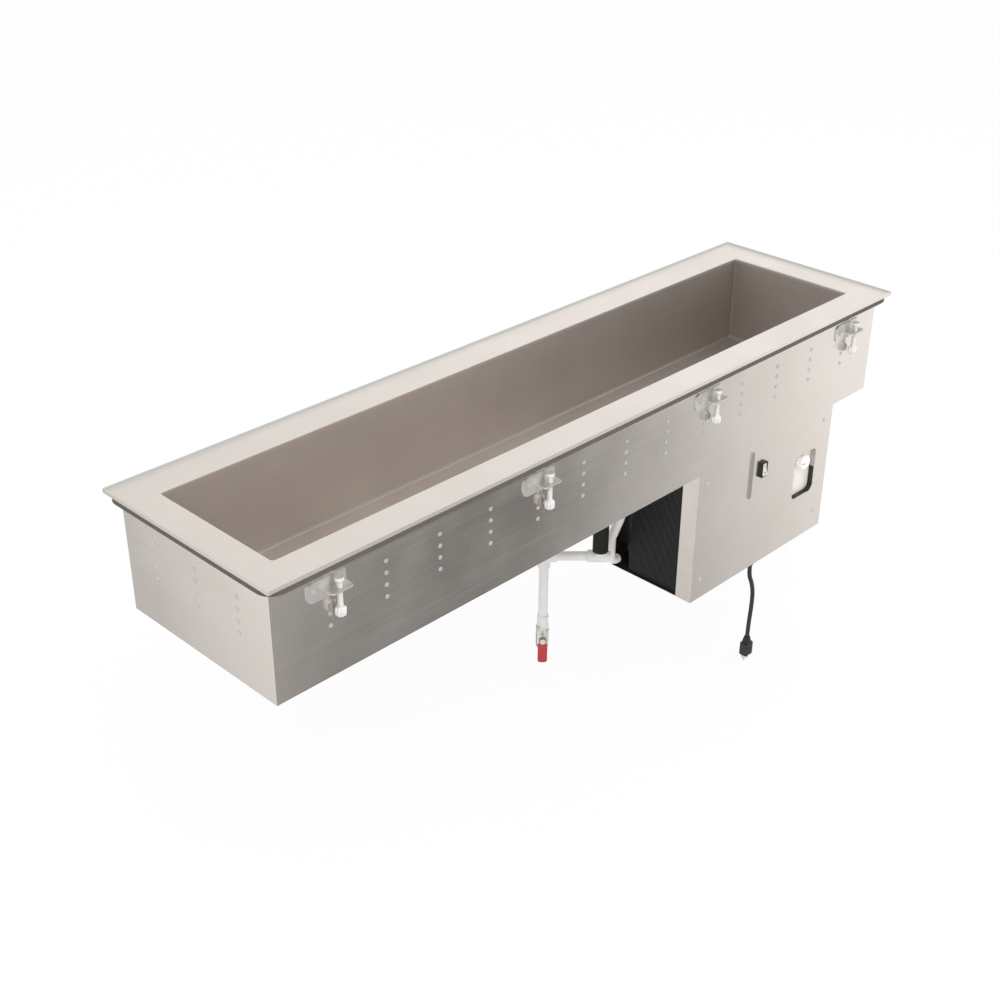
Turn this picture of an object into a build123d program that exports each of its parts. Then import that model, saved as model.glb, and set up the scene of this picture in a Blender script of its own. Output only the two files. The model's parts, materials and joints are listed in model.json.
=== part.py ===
from build123d import *
import os
from math import radians, tan

os.makedirs("parts", exist_ok=True)

# A refrigerated well that drops into a counter, in millimetres.
# The origin is the centre of the counter's cut-out, on the counter's top face.
# +X runs along the well towards the compressor box, +Y to the back, +Z up.

# Well, walls and rim
WELL_LENGTH = 1626.0
WELL_WIDTH = 311.0
WELL_DEPTH = 203.0
WELL_CORNER = 6.0
WELL_COVE = 6.0
MOUTH_RADIUS = 3.0
WALL_SIDE = 47.5
WALL_END = 47.5
WALL_FLOOR = 33.6
OVERHANG_SIDE = 27.2
OVERHANG_END = 19.3
RIM_CORNER = 3.0
LIP_RISE = 4.8
LIP_LEDGE = 2.5
LIP_SLOPE = 5.0
LIP_LAP = 1.2
LINER_SHEET = 1.5
PANEL_SHEET = 1.2
FOAM_GAP = 0.2

# Gasket under the rim
GASKET_THICK = 12.7
GASKET_WIDTH = 12.7
GASKET_INSET = 2.0
GASKET_CORNER = 34.0

# Evaporator tube, wound round the well inside the foam
EVAPORATOR_RADIUS = 4.75
EVAPORATOR_TURNS = 5
EVAPORATOR_PITCH = 30.0
EVAPORATOR_TOP = 30.0
EVAPORATOR_STANDOFF = 3.0
EVAPORATOR_BEND = 20.0
EVAPORATOR_STEP = 60.0
EVAPORATOR_TAIL_BEND = 14.0
EVAPORATOR_TAIL_LIFT = 17.0
POCKET_MARGIN = 0.5

# Pale plugs in the foam vent holes
VENT_RADIUS = 2.6
VENT_HEAD_RADIUS = 4.2
VENT_HEAD_HEIGHT = 1.2
VENT_HEAD_ROUND = 0.8
VENT_CLEARANCE = 0.1
VENT_ROWS = 4
VENT_TOP = 50.8
VENT_ROW_PITCH = 23.65
VENT_COLUMN_PITCH = 123.5
VENT_COLUMN_MARGIN = 90.0
VENT_END_PITCH = 115.0

# Hold-down clamps: bracket, bolt, swivel pad and thumb screw
CLAMP_COUNT = 4
CLAMP_LEFT_INSET = 131.5
CLAMP_RIGHT_INSET = 94.5
LEG_SHEET = 2.5
LEG_TOP = 24.0
LEG_HEIGHT = 38.0
LEG_RADIUS = 13.0
EAR_LENGTH = 36.0
TAB_WIDTH = 46.0
TAB_DEPTH = 24.0
TAB_SHEET = 3.0
TAB_TOP = 46.0
TAB_RADIUS = 7.0
SCREW_RADIUS = 5.0
SCREW_CLEARANCE = 0.06
SCREW_TIP_RADIUS = 3.0
SCREW_TIP_LENGTH = 4.0
PAD_RADIUS = 8.0
PAD_HEIGHT = 6.0
PAD_TOP = 26.0
PAD_PLAY = 0.35
GRIP_RADIUS = 10.0
GRIP_GAP = 0.5
GRIP_HEIGHT = 18.0
GRIP_TOP = 82.5
GRIP_ROUND = 5.0
GRIP_FLUTES = 8
GRIP_FLUTE_RADIUS = 2.2
BOLT_RADIUS = 3.0
BOLT_HEAD_RADIUS = 5.8
BOLT_HEAD_HEIGHT = 4.0
BOLT_LENGTH = 14.0
BOLT_CLEARANCE = 0.2

# Compressor box under the casing
BOX_LENGTH = 489.4
BOX_DEPTH = 225.0
BOX_HEIGHT = 314.9
BOX_FROM_END = 125.3
POST_WIDTH = 41.0
TRAY_SHEET = 1.5
SLOT_ROWS = 9
SLOT_COLUMNS = 3
SLOT_LENGTH = 100.0
SLOT_WIDTH = 7.0
SLOT_ROW_PITCH = 24.0
SLOT_COLUMN_PITCH = 125.0
SLOT_OFFSET = 30.0

# Rivets and pressed rib on the box
RIVET_RADIUS = 2.4
RIVET_HEAD_RADIUS = 4.6
RIVET_HEAD_HEIGHT = 1.8
RIVET_HEAD_ROUND = 1.2
RIVET_CLEARANCE = 0.05
RIVET_INSET = 28.7
RIVET_TOP_DROP = 29.0
RIVET_BOTTOM_LIFT = 48.5
RIB_FROM_LEFT = 187.0
RIB_DROP = 12.0
RIB_LENGTH = 115.0
RIB_WIDTH = 11.0
RIB_HEIGHT = 3.0
RIB_ROUND = 2.0

# Rocker switch
SWITCH_FROM_LEFT = 228.0
SWITCH_DROP = 67.5
SWITCH_WIDTH = 20.0
SWITCH_HEIGHT = 36.0
SWITCH_OUT = 8.0
SWITCH_DEPTH = 30.0
SWITCH_WALL = 2.0
SWITCH_SHOULDER = 1.2
SWITCH_FLOOR = -2.0
SWITCH_FIT = 0.1
ROCKER_SIDE_GAP = 0.4
ROCKER_END_GAP = 1.7
ROCKER_TILT = 8.0
ROCKER_PIVOT = 2.0
ROCKER_KEEL = -1.0
ROCKER_HIP = 3.0
ROCKER_DIP = 6.6
ROCKER_HORN = 8.4
ROCKER_PIN_RADIUS = 1.5
ROCKER_PIN_PLAY = 0.05
ROCKER_PIN_LENGTH = 1.6

# Control pocket, thermostat and knob
KNOB_FROM_RIGHT = 89.3
KNOB_DROP = 117.0
KNOB_RADIUS = 18.5
KNOB_PROUD = 3.0
KNOB_LIFT = 1.5
KNOB_ROUND = 1.5
KNOB_MARK_WIDTH = 3.0
KNOB_MARK_LENGTH = 12.0
KNOB_MARK_DEPTH = 0.8
SHAFT_RADIUS = 3.0
SHAFT_LENGTH = 26.0
SHAFT_PLAY = 0.05
POCKET_WIDTH = 82.0
POCKET_ABOVE = 25.5
POCKET_BELOW = 84.5
POCKET_DEPTH = 14.0
POCKET_CORNER = 14.0
POCKET_WALL = 1.2
POCKET_FLANGE = 9.0
THERMOSTAT_WIDTH = 50.0
THERMOSTAT_HEIGHT = 44.0
THERMOSTAT_DEPTH = 40.0
THERMOSTAT_ROUND = 2.0
FACEPLATE_SHEET = 1.2

# Condenser
COIL_INSET = 8.0
COIL_THICK = 44.0
COIL_OVERLAP = 3.0
COIL_REAR_GAP = 42.0
COIL_TOP_GAP = 16.0
FIN_PITCH = 3.2
FIN_GAP = 1.7
FIN_GROOVE = 4.0
COIL_ROWS = 8
COIL_ROW_PITCH = 36.0
COIL_TUBE_RADIUS = 4.75
COIL_TUBE_CLEARANCE = 0.05
COIL_TUBE_LEAD = 6.0
COIL_BEND = 17.0

# Fan
SHROUD_GAP = 1.0
SHROUD_SHEET = 1.2
SHROUD_COLLAR = 20.0
FAN_RADIUS = 80.0
FAN_TIP_GAP = 5.0
FAN_BLADES = 5
FAN_CHORD = 50.0
FAN_PITCH = 30.0
FAN_SHEET = 2.0
FAN_HUB_RADIUS = 24.0
FAN_HUB_LENGTH = 30.0
FAN_FROM_SHROUD = 28.0
FAN_SHAFT_RADIUS = 4.0
FAN_SHAFT_LENGTH = 28.0
FAN_SHAFT_PLAY = 0.05
MOTOR_RADIUS = 42.0
MOTOR_LENGTH = 56.0
MOTOR_GAP = 5.0
MOTOR_ROUND = 6.0
MOTOR_FOOT_WIDTH = 40.0
MOTOR_FOOT_LENGTH = 26.0
MOTOR_BASE_WIDTH = 90.0
MOTOR_BASE_SHEET = 3.0

# Compressor
SHELL_RADIUS = 70.0
SHELL_HEIGHT = 140.0
SHELL_ROUND = 32.0
SHELL_BEAD = 4.0
SHELL_BEAD_HEIGHT = 6.0
SHELL_FROM_LEFT = 290.0
SHELL_FROM_FRONT = 106.0
FOOT_LENGTH = 184.0
FOOT_WIDTH = 130.0
FOOT_SHEET = 4.0
FOOT_CORNER = 18.0
BUSH_RADIUS = 12.0
BUSH_HEIGHT = 18.0
BUSH_INSET = 17.0
STUB_RADIUS = 6.0
STUB_HEIGHT = 14.0
STUB_OFFSET = 24.0
COVER_WIDTH = 54.0
COVER_HEIGHT = 50.0
COVER_OUT = 24.0
COVER_LIFT = 62.0
COVER_ROUND = 5.0
COVER_GAP = 0.2

# Refrigerant lines and filter drier
LINE_RADIUS = 3.2
LINE_BEND = 14.0
LINE_FRONT_GAP = 16.0
LINE_TUBE_TOP = 71.5
SUCTION_RADIUS = 4.75
SUCTION_BEND = 22.0
SUCTION_REAR_GAP = 13.0
SUCTION_LIFT = 23.0
SUCTION_FROM_LEFT = 190.0
SUCTION_OUT = 24.0
SUCTION_JOG = 23.0
SUCTION_JOG_TOP = 166.0
SUCTION_JOG_BOTTOM = 228.0
SLEEVE_WALL = 6.0
SLEEVE_START = 1.0
SLEEVE_GAP = 0.1
LINE_HOLE_GAP = 1.0
CAPILLARY_RADIUS = 1.5
DRIER_RADIUS = 11.0
DRIER_LENGTH = 100.0
DRIER_ROUND = 7.0
DRIER_FROM_RIGHT = 28.0
DRIER_LIFT = 70.0

# Drain: spigot, strainer, sleeve, white pipework
DRAIN_FROM_BOX = 69.0
DRAIN_PIPE_DROP = 252.0
SPIGOT_RADIUS = 10.65
SPIGOT_BORE = 9.6
SPIGOT_FLANGE_RADIUS = 27.0
SPIGOT_FLANGE_THICK = 2.0
SPIGOT_CLEARANCE = 0.2
STRAINER_RADIUS = 21.0
STRAINER_THICK = 1.5
STRAINER_SKIRT = 8.0
STRAINER_SKIRT_WALL = 1.2
STRAINER_FIT = 0.1
STRAINER_HOLE_RADIUS = 1.8
STRAINER_HOLES = 10
STRAINER_RING = 13.5
STRAINER_INNER_HOLES = 5
STRAINER_INNER_RING = 4.4
SLEEVE_RADIUS = 17.5
SLEEVE_PLAY = 0.15
PIPE_RADIUS = 10.65
PIPE_BORE = 7.9
FITTING_RADIUS = 14.0
FITTING_REACH = 28.0
SOCKET_DEPTH = 16.0
SOCKET_CLEARANCE = 0.05
TEE_END_REACH = 18.0
TEE_PLUG_RADIUS = 11.0
TEE_PLUG_LENGTH = 5.0
DRAIN_RUN = 124.0
DOWN_PIPE_DROP = 181.5
ADAPTER_RADIUS = 12.8
ADAPTER_LENGTH = 25.0
NIPPLE_RADIUS = 9.2
NIPPLE_LENGTH = 11.0

# Drain valve
VALVE_HALF = 30.0
VALVE_HEX_RADIUS = 14.5
VALVE_HEX_HEIGHT = 12.0
VALVE_BARREL_RADIUS = 15.0
VALVE_THREAD_RADIUS = 9.3
VALVE_THREAD_DEPTH = 12.0
VALVE_SEAT_GAP = 0.4
BALL_RADIUS = 11.5
BALL_BORE = 6.5
STEM_RADIUS = 4.0
STEM_PLAY = 0.05
STEM_BOSS_RADIUS = 7.5
STEM_BOSS_OUT = 21.0
STEM_HEAD_RADIUS = 6.5
STEM_HEAD_HEIGHT = 3.0
LEVER_GAP = 1.0
LEVER_THICK = 5.0
LEVER_WIDTH = 22.0
LEVER_ABOVE = 10.8
LEVER_BELOW = 58.5
LEVER_ROUND = 1.6
LEVER_FIT = 0.02

# Power cord, its gland in the base tray and its plug
GLAND_FROM_LEFT = 233.5
GLAND_FROM_FRONT = 10.0
GLAND_NECK_RADIUS = 6.9
GLAND_FLANGE_RADIUS = 8.3
GLAND_FLANGE_HEIGHT = 3.0
GLAND_INSIDE = 16.5
GLAND_OUTSIDE = 7.5
GLAND_MOUTH_RADIUS = 6.1
GLAND_FIT = 0.05
CORD_RADIUS = 5.0
CORD_ARC_SHARE = 0.45
PLUG_TAIL = 16.0
PLUG_TAIL_RADIUS = 6.5
PLUG_WIDTH = 28.0
PLUG_DEPTH = 24.0
PLUG_HEIGHT = 33.0
PLUG_ROUND = 6.0
PRONG_LENGTH = 16.0
PRONG_WIDTH = 6.3
PRONG_THICK = 1.5
PRONG_SPACING = 12.7
GROUND_RADIUS = 2.4
GROUND_SETBACK = 8.0

# Worked out from the above
RIM_UNDER = GASKET_THICK
RIM_TOP = RIM_UNDER + LINER_SHEET
LIP_TOP = RIM_TOP + LIP_RISE
LIP_UNDER = RIM_UNDER - LIP_LAP
WELL_FLOOR = RIM_TOP - WELL_DEPTH
FLOOR_UNDER = WELL_FLOOR - LINER_SHEET
CASING_LENGTH = WELL_LENGTH + 2 * WALL_END
CASING_WIDTH = WELL_WIDTH + 2 * WALL_SIDE
CASING_UNDER = WELL_FLOOR - WALL_FLOOR
RIM_LENGTH = CASING_LENGTH + 2 * OVERHANG_END
RIM_WIDTH = CASING_WIDTH + 2 * OVERHANG_SIDE
FRONT_Y = -CASING_WIDTH / 2
BOX_RIGHT = CASING_LENGTH / 2 - BOX_FROM_END
BOX_LEFT = BOX_RIGHT - BOX_LENGTH
BOX_REAR = FRONT_Y + BOX_DEPTH
BOX_UNDER = CASING_UNDER - BOX_HEIGHT
BOX_FRONT_INNER = FRONT_Y + PANEL_SHEET
BOX_REAR_INNER = BOX_REAR - PANEL_SHEET
BOX_MIDDLE_Y = (BOX_FRONT_INNER + BOX_REAR_INNER) / 2
TRAY_TOP = BOX_UNDER + TRAY_SHEET
KNOB_X = BOX_RIGHT - KNOB_FROM_RIGHT
KNOB_Z = CASING_UNDER - KNOB_DROP
SWITCH_X = BOX_LEFT + SWITCH_FROM_LEFT
SWITCH_Z = CASING_UNDER - SWITCH_DROP
DRAIN_X = BOX_LEFT - DRAIN_FROM_BOX
DRAIN_PIPE_Z = CASING_UNDER - DRAIN_PIPE_DROP
VALVE_Z = -DOWN_PIPE_DROP - VALVE_HALF
CLAMP_PITCH = (CASING_LENGTH - CLAMP_LEFT_INSET - CLAMP_RIGHT_INSET) / (CLAMP_COUNT - 1)
CLAMP_X = [CLAMP_LEFT_INSET - CASING_LENGTH / 2 + i * CLAMP_PITCH for i in range(CLAMP_COUNT)]
SCREW_OUT = LEG_SHEET + GRIP_GAP + GRIP_RADIUS
BOLT_X = -TAB_WIDTH / 2 - EAR_LENGTH / 2
BOLT_Z = -LEG_TOP - LEG_HEIGHT / 2

COIL_X = BOX_LEFT + COIL_INSET
COIL_FRONT = FRONT_Y + POST_WIDTH - COIL_OVERLAP
COIL_REAR = BOX_REAR_INNER - COIL_REAR_GAP
COIL_TOP = CASING_UNDER - COIL_TOP_GAP
COIL_TUBE_X = COIL_X + COIL_THICK / 2
COIL_TUBE_Z = (COIL_TOP + TRAY_TOP) / 2 + COIL_ROW_PITCH * (COIL_ROWS - 1) / 2
COIL_LAST_Z = COIL_TUBE_Z - COIL_ROW_PITCH * (COIL_ROWS - 1)
COIL_TUBE_END = COIL_FRONT - COIL_TUBE_LEAD
SHROUD_X = COIL_X + COIL_THICK + SHROUD_GAP
FAN_X = SHROUD_X + FAN_FROM_SHROUD
FAN_Z = (CASING_UNDER + TRAY_TOP) / 2
MOTOR_X = FAN_X + FAN_HUB_LENGTH / 2 + MOTOR_GAP
SHELL_X = BOX_LEFT + SHELL_FROM_LEFT
SHELL_Y = BOX_FRONT_INNER + SHELL_FROM_FRONT
FOOT_Z = TRAY_TOP + BUSH_HEIGHT
SHELL_UNDER = FOOT_Z + FOOT_SHEET
SHELL_TOP = SHELL_UNDER + SHELL_HEIGHT
STUB_TOP = SHELL_TOP + STUB_HEIGHT
LINE_Y = BOX_FRONT_INNER + LINE_FRONT_GAP
SUCTION_Y = BOX_REAR_INNER - SUCTION_REAR_GAP
SUCTION_Z = TRAY_TOP + SUCTION_LIFT
SUCTION_OUT_X = BOX_LEFT - SUCTION_OUT
SUCTION_JOG_Y = SUCTION_Y - SUCTION_JOG
LINE_TOP_Z = CASING_UNDER - LINE_TUBE_TOP
DRIER_X = BOX_RIGHT - DRIER_FROM_RIGHT
DRIER_Z = TRAY_TOP + DRIER_LIFT
GLAND_X = BOX_LEFT + GLAND_FROM_LEFT
GLAND_Y = FRONT_Y + GLAND_FROM_FRONT
GLAND_MOUTH_Z = BOX_UNDER - GLAND_OUTSIDE

# Faces of the casing: local x runs along the face, y is up, z points out of it
FRONT = Plane(origin=(0, FRONT_Y, 0), x_dir=(1, 0, 0), z_dir=(0, -1, 0)).location
BACK = Plane(origin=(0, -FRONT_Y, 0), x_dir=(-1, 0, 0), z_dir=(0, 1, 0)).location
LEFT = Plane(origin=(-CASING_LENGTH / 2, 0, 0), x_dir=(0, -1, 0), z_dir=(-1, 0, 0)).location
RIGHT = Plane(origin=(CASING_LENGTH / 2, 0, 0), x_dir=(0, 1, 0), z_dir=(1, 0, 0)).location

# The drain's cross pipe runs at 45 degrees in plan: local x along it, y to the lever's side
DRAIN = Plane(origin=(DRAIN_X, 0, DRAIN_PIPE_Z), x_dir=(-1, 1, 0), z_dir=(0, 0, 1)).location

# Route of the free cord, chosen by hand: x and z from the gland's mouth down to the plug
CORD_POINTS = [
    (0.0, 0.0),
    (0.0, -28.0),
    (14.0, -54.0),
    (22.5, -82.0),
    (23.5, -112.0),
    (21.8, -143.0),
    (18.8, -176.0),
    (18.8, -207.0),
]
CORD_ROUTE = [(GLAND_X + x, GLAND_Y, GLAND_MOUTH_Z + z) for x, z in CORD_POINTS]


def span(size, middle=0.0):
    """The two ends of a length about its middle."""
    return (middle - size / 2, middle + size / 2)


def block(x, y, z):
    """A box from its span along each axis."""
    sizes = [b - a for a, b in (x, y, z)]
    middle = [(a + b) / 2 for a, b in (x, y, z)]
    return Pos(*middle) * Box(*sizes)


def rod(radius, start, end):
    """A round bar between two points."""
    line = Vector(*end) - Vector(*start)
    return extrude(Plane(origin=start, z_dir=line) * Circle(radius), amount=line.length)


def cone(radius, end_radius, start, end):
    """A tapered round bar between two points."""
    line = Vector(*end) - Vector(*start)
    foot = Plane(origin=start, z_dir=line) * Circle(radius)
    tip = Plane(origin=end, z_dir=line) * Circle(end_radius)
    return loft([foot, tip])


def bent_tube(points, bends, radius, bore=0.0):
    """A round tube along straight runs joined by arcs."""
    path = FilletPolyline(*points, radius=bends)
    section = Circle(radius)
    if bore:
        section = section - Circle(bore)
    return sweep(Plane(origin=path @ 0, z_dir=path % 0) * section, path=path)


def button(radius, height, rounding, shank_radius, shank_length):
    """A round-headed pin whose head stands on the plane z = 0."""
    head = Pos(0, 0, height / 2) * Cylinder(radius, height)
    head = fillet(head.edges().group_by(Axis.Z)[-1], rounding)
    return head + Pos(0, 0, -shank_length / 2) * Cylinder(shank_radius, shank_length)


def tub(grow):
    """The well's inside, or the same grown outwards by a wall."""
    top = RIM_TOP if grow == 0 else RIM_UNDER
    shape = block(span(WELL_LENGTH + 2 * grow), span(WELL_WIDTH + 2 * grow), (WELL_FLOOR - grow, top))
    shape = fillet(shape.edges().filter_by(Axis.Z), WELL_CORNER + grow)
    return fillet(shape.edges().group_by(Axis.Z)[0], WELL_COVE + grow)


def raised_rim(sheet):
    """The rim with its raised edge as a full block, or the hollow that a sheet leaves under it."""
    length = RIM_LENGTH - 2 * sheet
    width = RIM_WIDTH - 2 * sheet
    rim = block(span(length), span(width), (LIP_UNDER, LIP_TOP - sheet))
    rim = fillet(rim.edges().filter_by(Axis.Z), RIM_CORNER - sheet)
    crest = Rectangle(RIM_LENGTH - 2 * LIP_LEDGE, RIM_WIDTH - 2 * LIP_LEDGE)
    inset = 2 * (LIP_LEDGE + LIP_SLOPE)
    bed = Rectangle(RIM_LENGTH - inset, RIM_WIDTH - inset)
    return rim - loft([Pos(0, 0, RIM_TOP - sheet) * bed, Pos(0, 0, LIP_TOP - sheet) * crest])


def well_liner():
    rim = raised_rim(0) - raised_rim(LINER_SHEET)
    hole = SPIGOT_RADIUS + SPIGOT_CLEARANCE
    liner = rim + tub(LINER_SHEET) - tub(0)
    liner -= rod(hole, (DRAIN_X, 0, FLOOR_UNDER), (DRAIN_X, 0, WELL_FLOOR))
    mouth = [
        edge for edge in liner.edges().filter_by_position(Axis.Z, RIM_UNDER, LIP_TOP, (False, False))
        if abs(edge.center().X) <= WELL_LENGTH / 2 and abs(edge.center().Y) <= WELL_WIDTH / 2
    ]
    return fillet(mouth, MOUTH_RADIUS)


def gasket_outline(inset):
    """The gasket's rounded outline, drawn in from the rim's edge."""
    return RectangleRounded(RIM_LENGTH - 2 * inset, RIM_WIDTH - 2 * inset, GASKET_CORNER - inset)


def rim_gasket():
    strip = gasket_outline(GASKET_INSET) - gasket_outline(GASKET_INSET + GASKET_WIDTH)
    return extrude(strip, amount=GASKET_THICK)


def evaporator_route():
    """Turns round the well from the top down, then a tail through the floor's foam."""
    reach = LINER_SHEET + EVAPORATOR_STANDOFF + EVAPORATOR_RADIUS
    a = WELL_LENGTH / 2 + reach
    b = WELL_WIDTH / 2 + reach
    step = EVAPORATOR_STEP / 2
    points = [(step, -b, -EVAPORATOR_TOP)]
    for turn in range(EVAPORATOR_TURNS):
        z = -EVAPORATOR_TOP - turn * EVAPORATOR_PITCH
        points += [(a, -b, z), (a, b, z), (-a, b, z), (-a, -b, z)]
        if turn < EVAPORATOR_TURNS - 1:
            points += [(-step, -b, z), (step, -b, z - EVAPORATOR_PITCH)]
    tail_z = CASING_UNDER + EVAPORATOR_TAIL_LIFT
    points += [(SUCTION_OUT_X, -b, z), (SUCTION_OUT_X, -b, tail_z)]
    points += [(SUCTION_OUT_X, SUCTION_JOG_Y, tail_z), (SUCTION_OUT_X, SUCTION_JOG_Y, CASING_UNDER)]
    tail = [EVAPORATOR_TAIL_BEND] * 3
    return points, [EVAPORATOR_BEND] * (len(points) - 5) + tail


def evaporator_tube():
    points, bends = evaporator_route()
    return bent_tube(points, bends, EVAPORATOR_RADIUS)


def insulation_foam():
    length = CASING_LENGTH - 2 * PANEL_SHEET
    width = CASING_WIDTH - 2 * PANEL_SHEET
    foam = block(span(length), span(width), (CASING_UNDER + PANEL_SHEET, RIM_UNDER))
    foam -= tub(LINER_SHEET + FOAM_GAP)
    reach = 2 * (LINER_SHEET + EVAPORATOR_STANDOFF + 2 * EVAPORATOR_RADIUS + POCKET_MARGIN)
    tube_edge = EVAPORATOR_RADIUS + POCKET_MARGIN
    top = -EVAPORATOR_TOP + tube_edge
    bottom = -EVAPORATOR_TOP - EVAPORATOR_PITCH * (EVAPORATOR_TURNS - 1) - tube_edge
    pocket = block(span(WELL_LENGTH + reach), span(WELL_WIDTH + reach), (bottom, top))
    foam -= pocket
    channel = tube_edge + EVAPORATOR_TAIL_BEND / 2
    tail = evaporator_route()[0][-4:]
    for start, end in zip(tail, tail[1:]):
        foam -= block(*[(min(a, b) - channel, max(a, b) + channel) for a, b in zip(start, end)])
    hole = SPIGOT_RADIUS + SPIGOT_CLEARANCE
    foam -= rod(hole, (DRAIN_X, 0, CASING_UNDER), (DRAIN_X, 0, WELL_FLOOR))
    bolt = Pos(BOLT_X, BOLT_Z, 0) * rod(BOLT_RADIUS + BOLT_CLEARANCE, (0, 0, 0), (0, 0, -BOLT_LENGTH))
    return foam - [face * Pos(x, 0, 0) * bolt for face in (FRONT, BACK) for x in CLAMP_X]


def under_bracket(x, z):
    """True where a clamp bracket covers a vent plug's head."""
    for clamp in CLAMP_X:
        left = clamp - TAB_WIDTH / 2 - EAR_LENGTH - VENT_HEAD_RADIUS
        right = clamp + TAB_WIDTH / 2 + VENT_HEAD_RADIUS
        low = -LEG_TOP - LEG_HEIGHT - VENT_HEAD_RADIUS
        if left < x < right and low < z < -LEG_TOP + VENT_HEAD_RADIUS:
            return True
    return False


def vent_rows():
    return [-VENT_TOP - row * VENT_ROW_PITCH for row in range(VENT_ROWS)]


def side_vents():
    """Vent places on the front and back, in the face's own x and y."""
    half = int((CASING_LENGTH / 2 - VENT_COLUMN_MARGIN) / VENT_COLUMN_PITCH)
    columns = [i * VENT_COLUMN_PITCH for i in range(-half, half + 1)]
    return [(x, z) for x in columns for z in vent_rows() if not under_bracket(x, z)]


def end_vents():
    return [(i * VENT_END_PITCH, z) for i in (-1, 0, 1) for z in vent_rows()]


def drilled(wall, places, radius):
    """A wall with round holes through its sheet."""
    drill = rod(radius, (0, 0, 0), (0, 0, -PANEL_SHEET))
    return wall - [Pos(x, z, 0) * drill for x, z in places]


def side_wall():
    """One long wall of the casing, in the face's own frame."""
    wall = block(span(CASING_LENGTH), (CASING_UNDER, RIM_UNDER), (-PANEL_SHEET, 0))
    wall = drilled(wall, side_vents(), VENT_RADIUS)
    bolts = [(x + BOLT_X, BOLT_Z) for x in CLAMP_X]
    return drilled(wall, bolts, BOLT_RADIUS + BOLT_CLEARANCE)


def front_rivets():
    """Rivets on the box's front, in the front face's own x and y."""
    columns = (BOX_LEFT + RIVET_INSET, BOX_RIGHT - RIVET_INSET)
    rows = (CASING_UNDER - RIVET_TOP_DROP, BOX_UNDER + RIVET_BOTTOM_LIFT)
    return [(x, z) for x in columns for z in rows]


def pocket_outline(grow=0.0):
    """The control pocket's rounded outline, in the front face's own frame."""
    height = POCKET_ABOVE + POCKET_BELOW
    middle = KNOB_Z + (POCKET_ABOVE - POCKET_BELOW) / 2
    size = (POCKET_WIDTH + 2 * grow, height + 2 * grow)
    return Pos(KNOB_X, middle, 0) * RectangleRounded(*size, POCKET_CORNER + grow)


def front_panel():
    panel = side_wall()
    panel += block((BOX_LEFT, BOX_RIGHT), (BOX_UNDER, CASING_UNDER), (-PANEL_SHEET, 0))
    panel += block((BOX_LEFT, BOX_LEFT + PANEL_SHEET), (BOX_UNDER, CASING_UNDER), (-POST_WIDTH, 0))
    rib = extrude(SlotOverall(RIB_LENGTH, RIB_WIDTH, rotation=90), amount=RIB_HEIGHT)
    rib = fillet(rib.edges().group_by(Axis.Z)[-1], RIB_ROUND)
    panel += Pos(BOX_LEFT + RIB_FROM_LEFT, CASING_UNDER - RIB_DROP - RIB_LENGTH / 2, 0) * rib
    panel = drilled(panel, front_rivets(), RIVET_RADIUS + RIVET_CLEARANCE)
    panel -= extrude(pocket_outline(), amount=-PANEL_SHEET)
    hole_width = SWITCH_WIDTH - 2 * SWITCH_SHOULDER + 2 * SWITCH_FIT
    hole_height = SWITCH_HEIGHT - 2 * SWITCH_SHOULDER + 2 * SWITCH_FIT
    panel -= block(span(hole_width, SWITCH_X), span(hole_height, SWITCH_Z), (-PANEL_SHEET, 0))
    return FRONT * panel


def back_panel():
    return BACK * side_wall()


def end_panel(face):
    wall = block(span(CASING_WIDTH - 2 * PANEL_SHEET), (CASING_UNDER, RIM_UNDER), (-PANEL_SHEET, 0))
    return face * drilled(wall, end_vents(), VENT_RADIUS)


def bottom_panel():
    length = CASING_LENGTH - 2 * PANEL_SHEET
    width = CASING_WIDTH - 2 * PANEL_SHEET
    top = CASING_UNDER + PANEL_SHEET
    panel = block(span(length), span(width), (CASING_UNDER, top))
    hole = SPIGOT_RADIUS + SPIGOT_CLEARANCE
    panel -= rod(hole, (DRAIN_X, 0, CASING_UNDER), (DRAIN_X, 0, top))
    tail = (SUCTION_OUT_X, SUCTION_JOG_Y)
    return panel - rod(EVAPORATOR_RADIUS + POCKET_MARGIN, (*tail, CASING_UNDER), (*tail, top))


def vent_plugs():
    shank = VENT_RADIUS - VENT_CLEARANCE
    plug = button(VENT_HEAD_RADIUS, VENT_HEAD_HEIGHT, VENT_HEAD_ROUND, shank, PANEL_SHEET)
    places = [(face, x, z) for face in (FRONT, BACK) for x, z in side_vents()]
    places += [(face, x, z) for face in (LEFT, RIGHT) for x, z in end_vents()]
    return [face * Pos(x, z, 0) * plug for face, x, z in places]


def panel_rivets():
    rivet = button(RIVET_HEAD_RADIUS, RIVET_HEAD_HEIGHT, RIVET_HEAD_ROUND, RIVET_RADIUS, PANEL_SHEET)
    return [FRONT * Pos(x, z, 0) * rivet for x, z in front_rivets()]


def clamp_bracket():
    """One bracket, its screw hole over local x = 0."""
    half = TAB_WIDTH / 2
    leg = block((-half - EAR_LENGTH, half), (-LEG_TOP - LEG_HEIGHT, -LEG_TOP), (0, LEG_SHEET))
    leg = fillet(leg.edges().filter_by(Axis.Z).group_by(Axis.X)[0], LEG_RADIUS)
    tab = block((-half, half), (-TAB_TOP - TAB_SHEET, -TAB_TOP), (0, TAB_DEPTH))
    tab = fillet(tab.edges().filter_by(Axis.Y).group_by(Axis.Z)[-1], TAB_RADIUS)
    hole = rod(SCREW_RADIUS + SCREW_CLEARANCE, (0, -TAB_TOP - TAB_SHEET, SCREW_OUT), (0, -TAB_TOP, SCREW_OUT))
    bolt_hole = rod(BOLT_RADIUS + BOLT_CLEARANCE, (BOLT_X, BOLT_Z, 0), (BOLT_X, BOLT_Z, LEG_SHEET))
    return leg + tab - hole - bolt_hole


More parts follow.
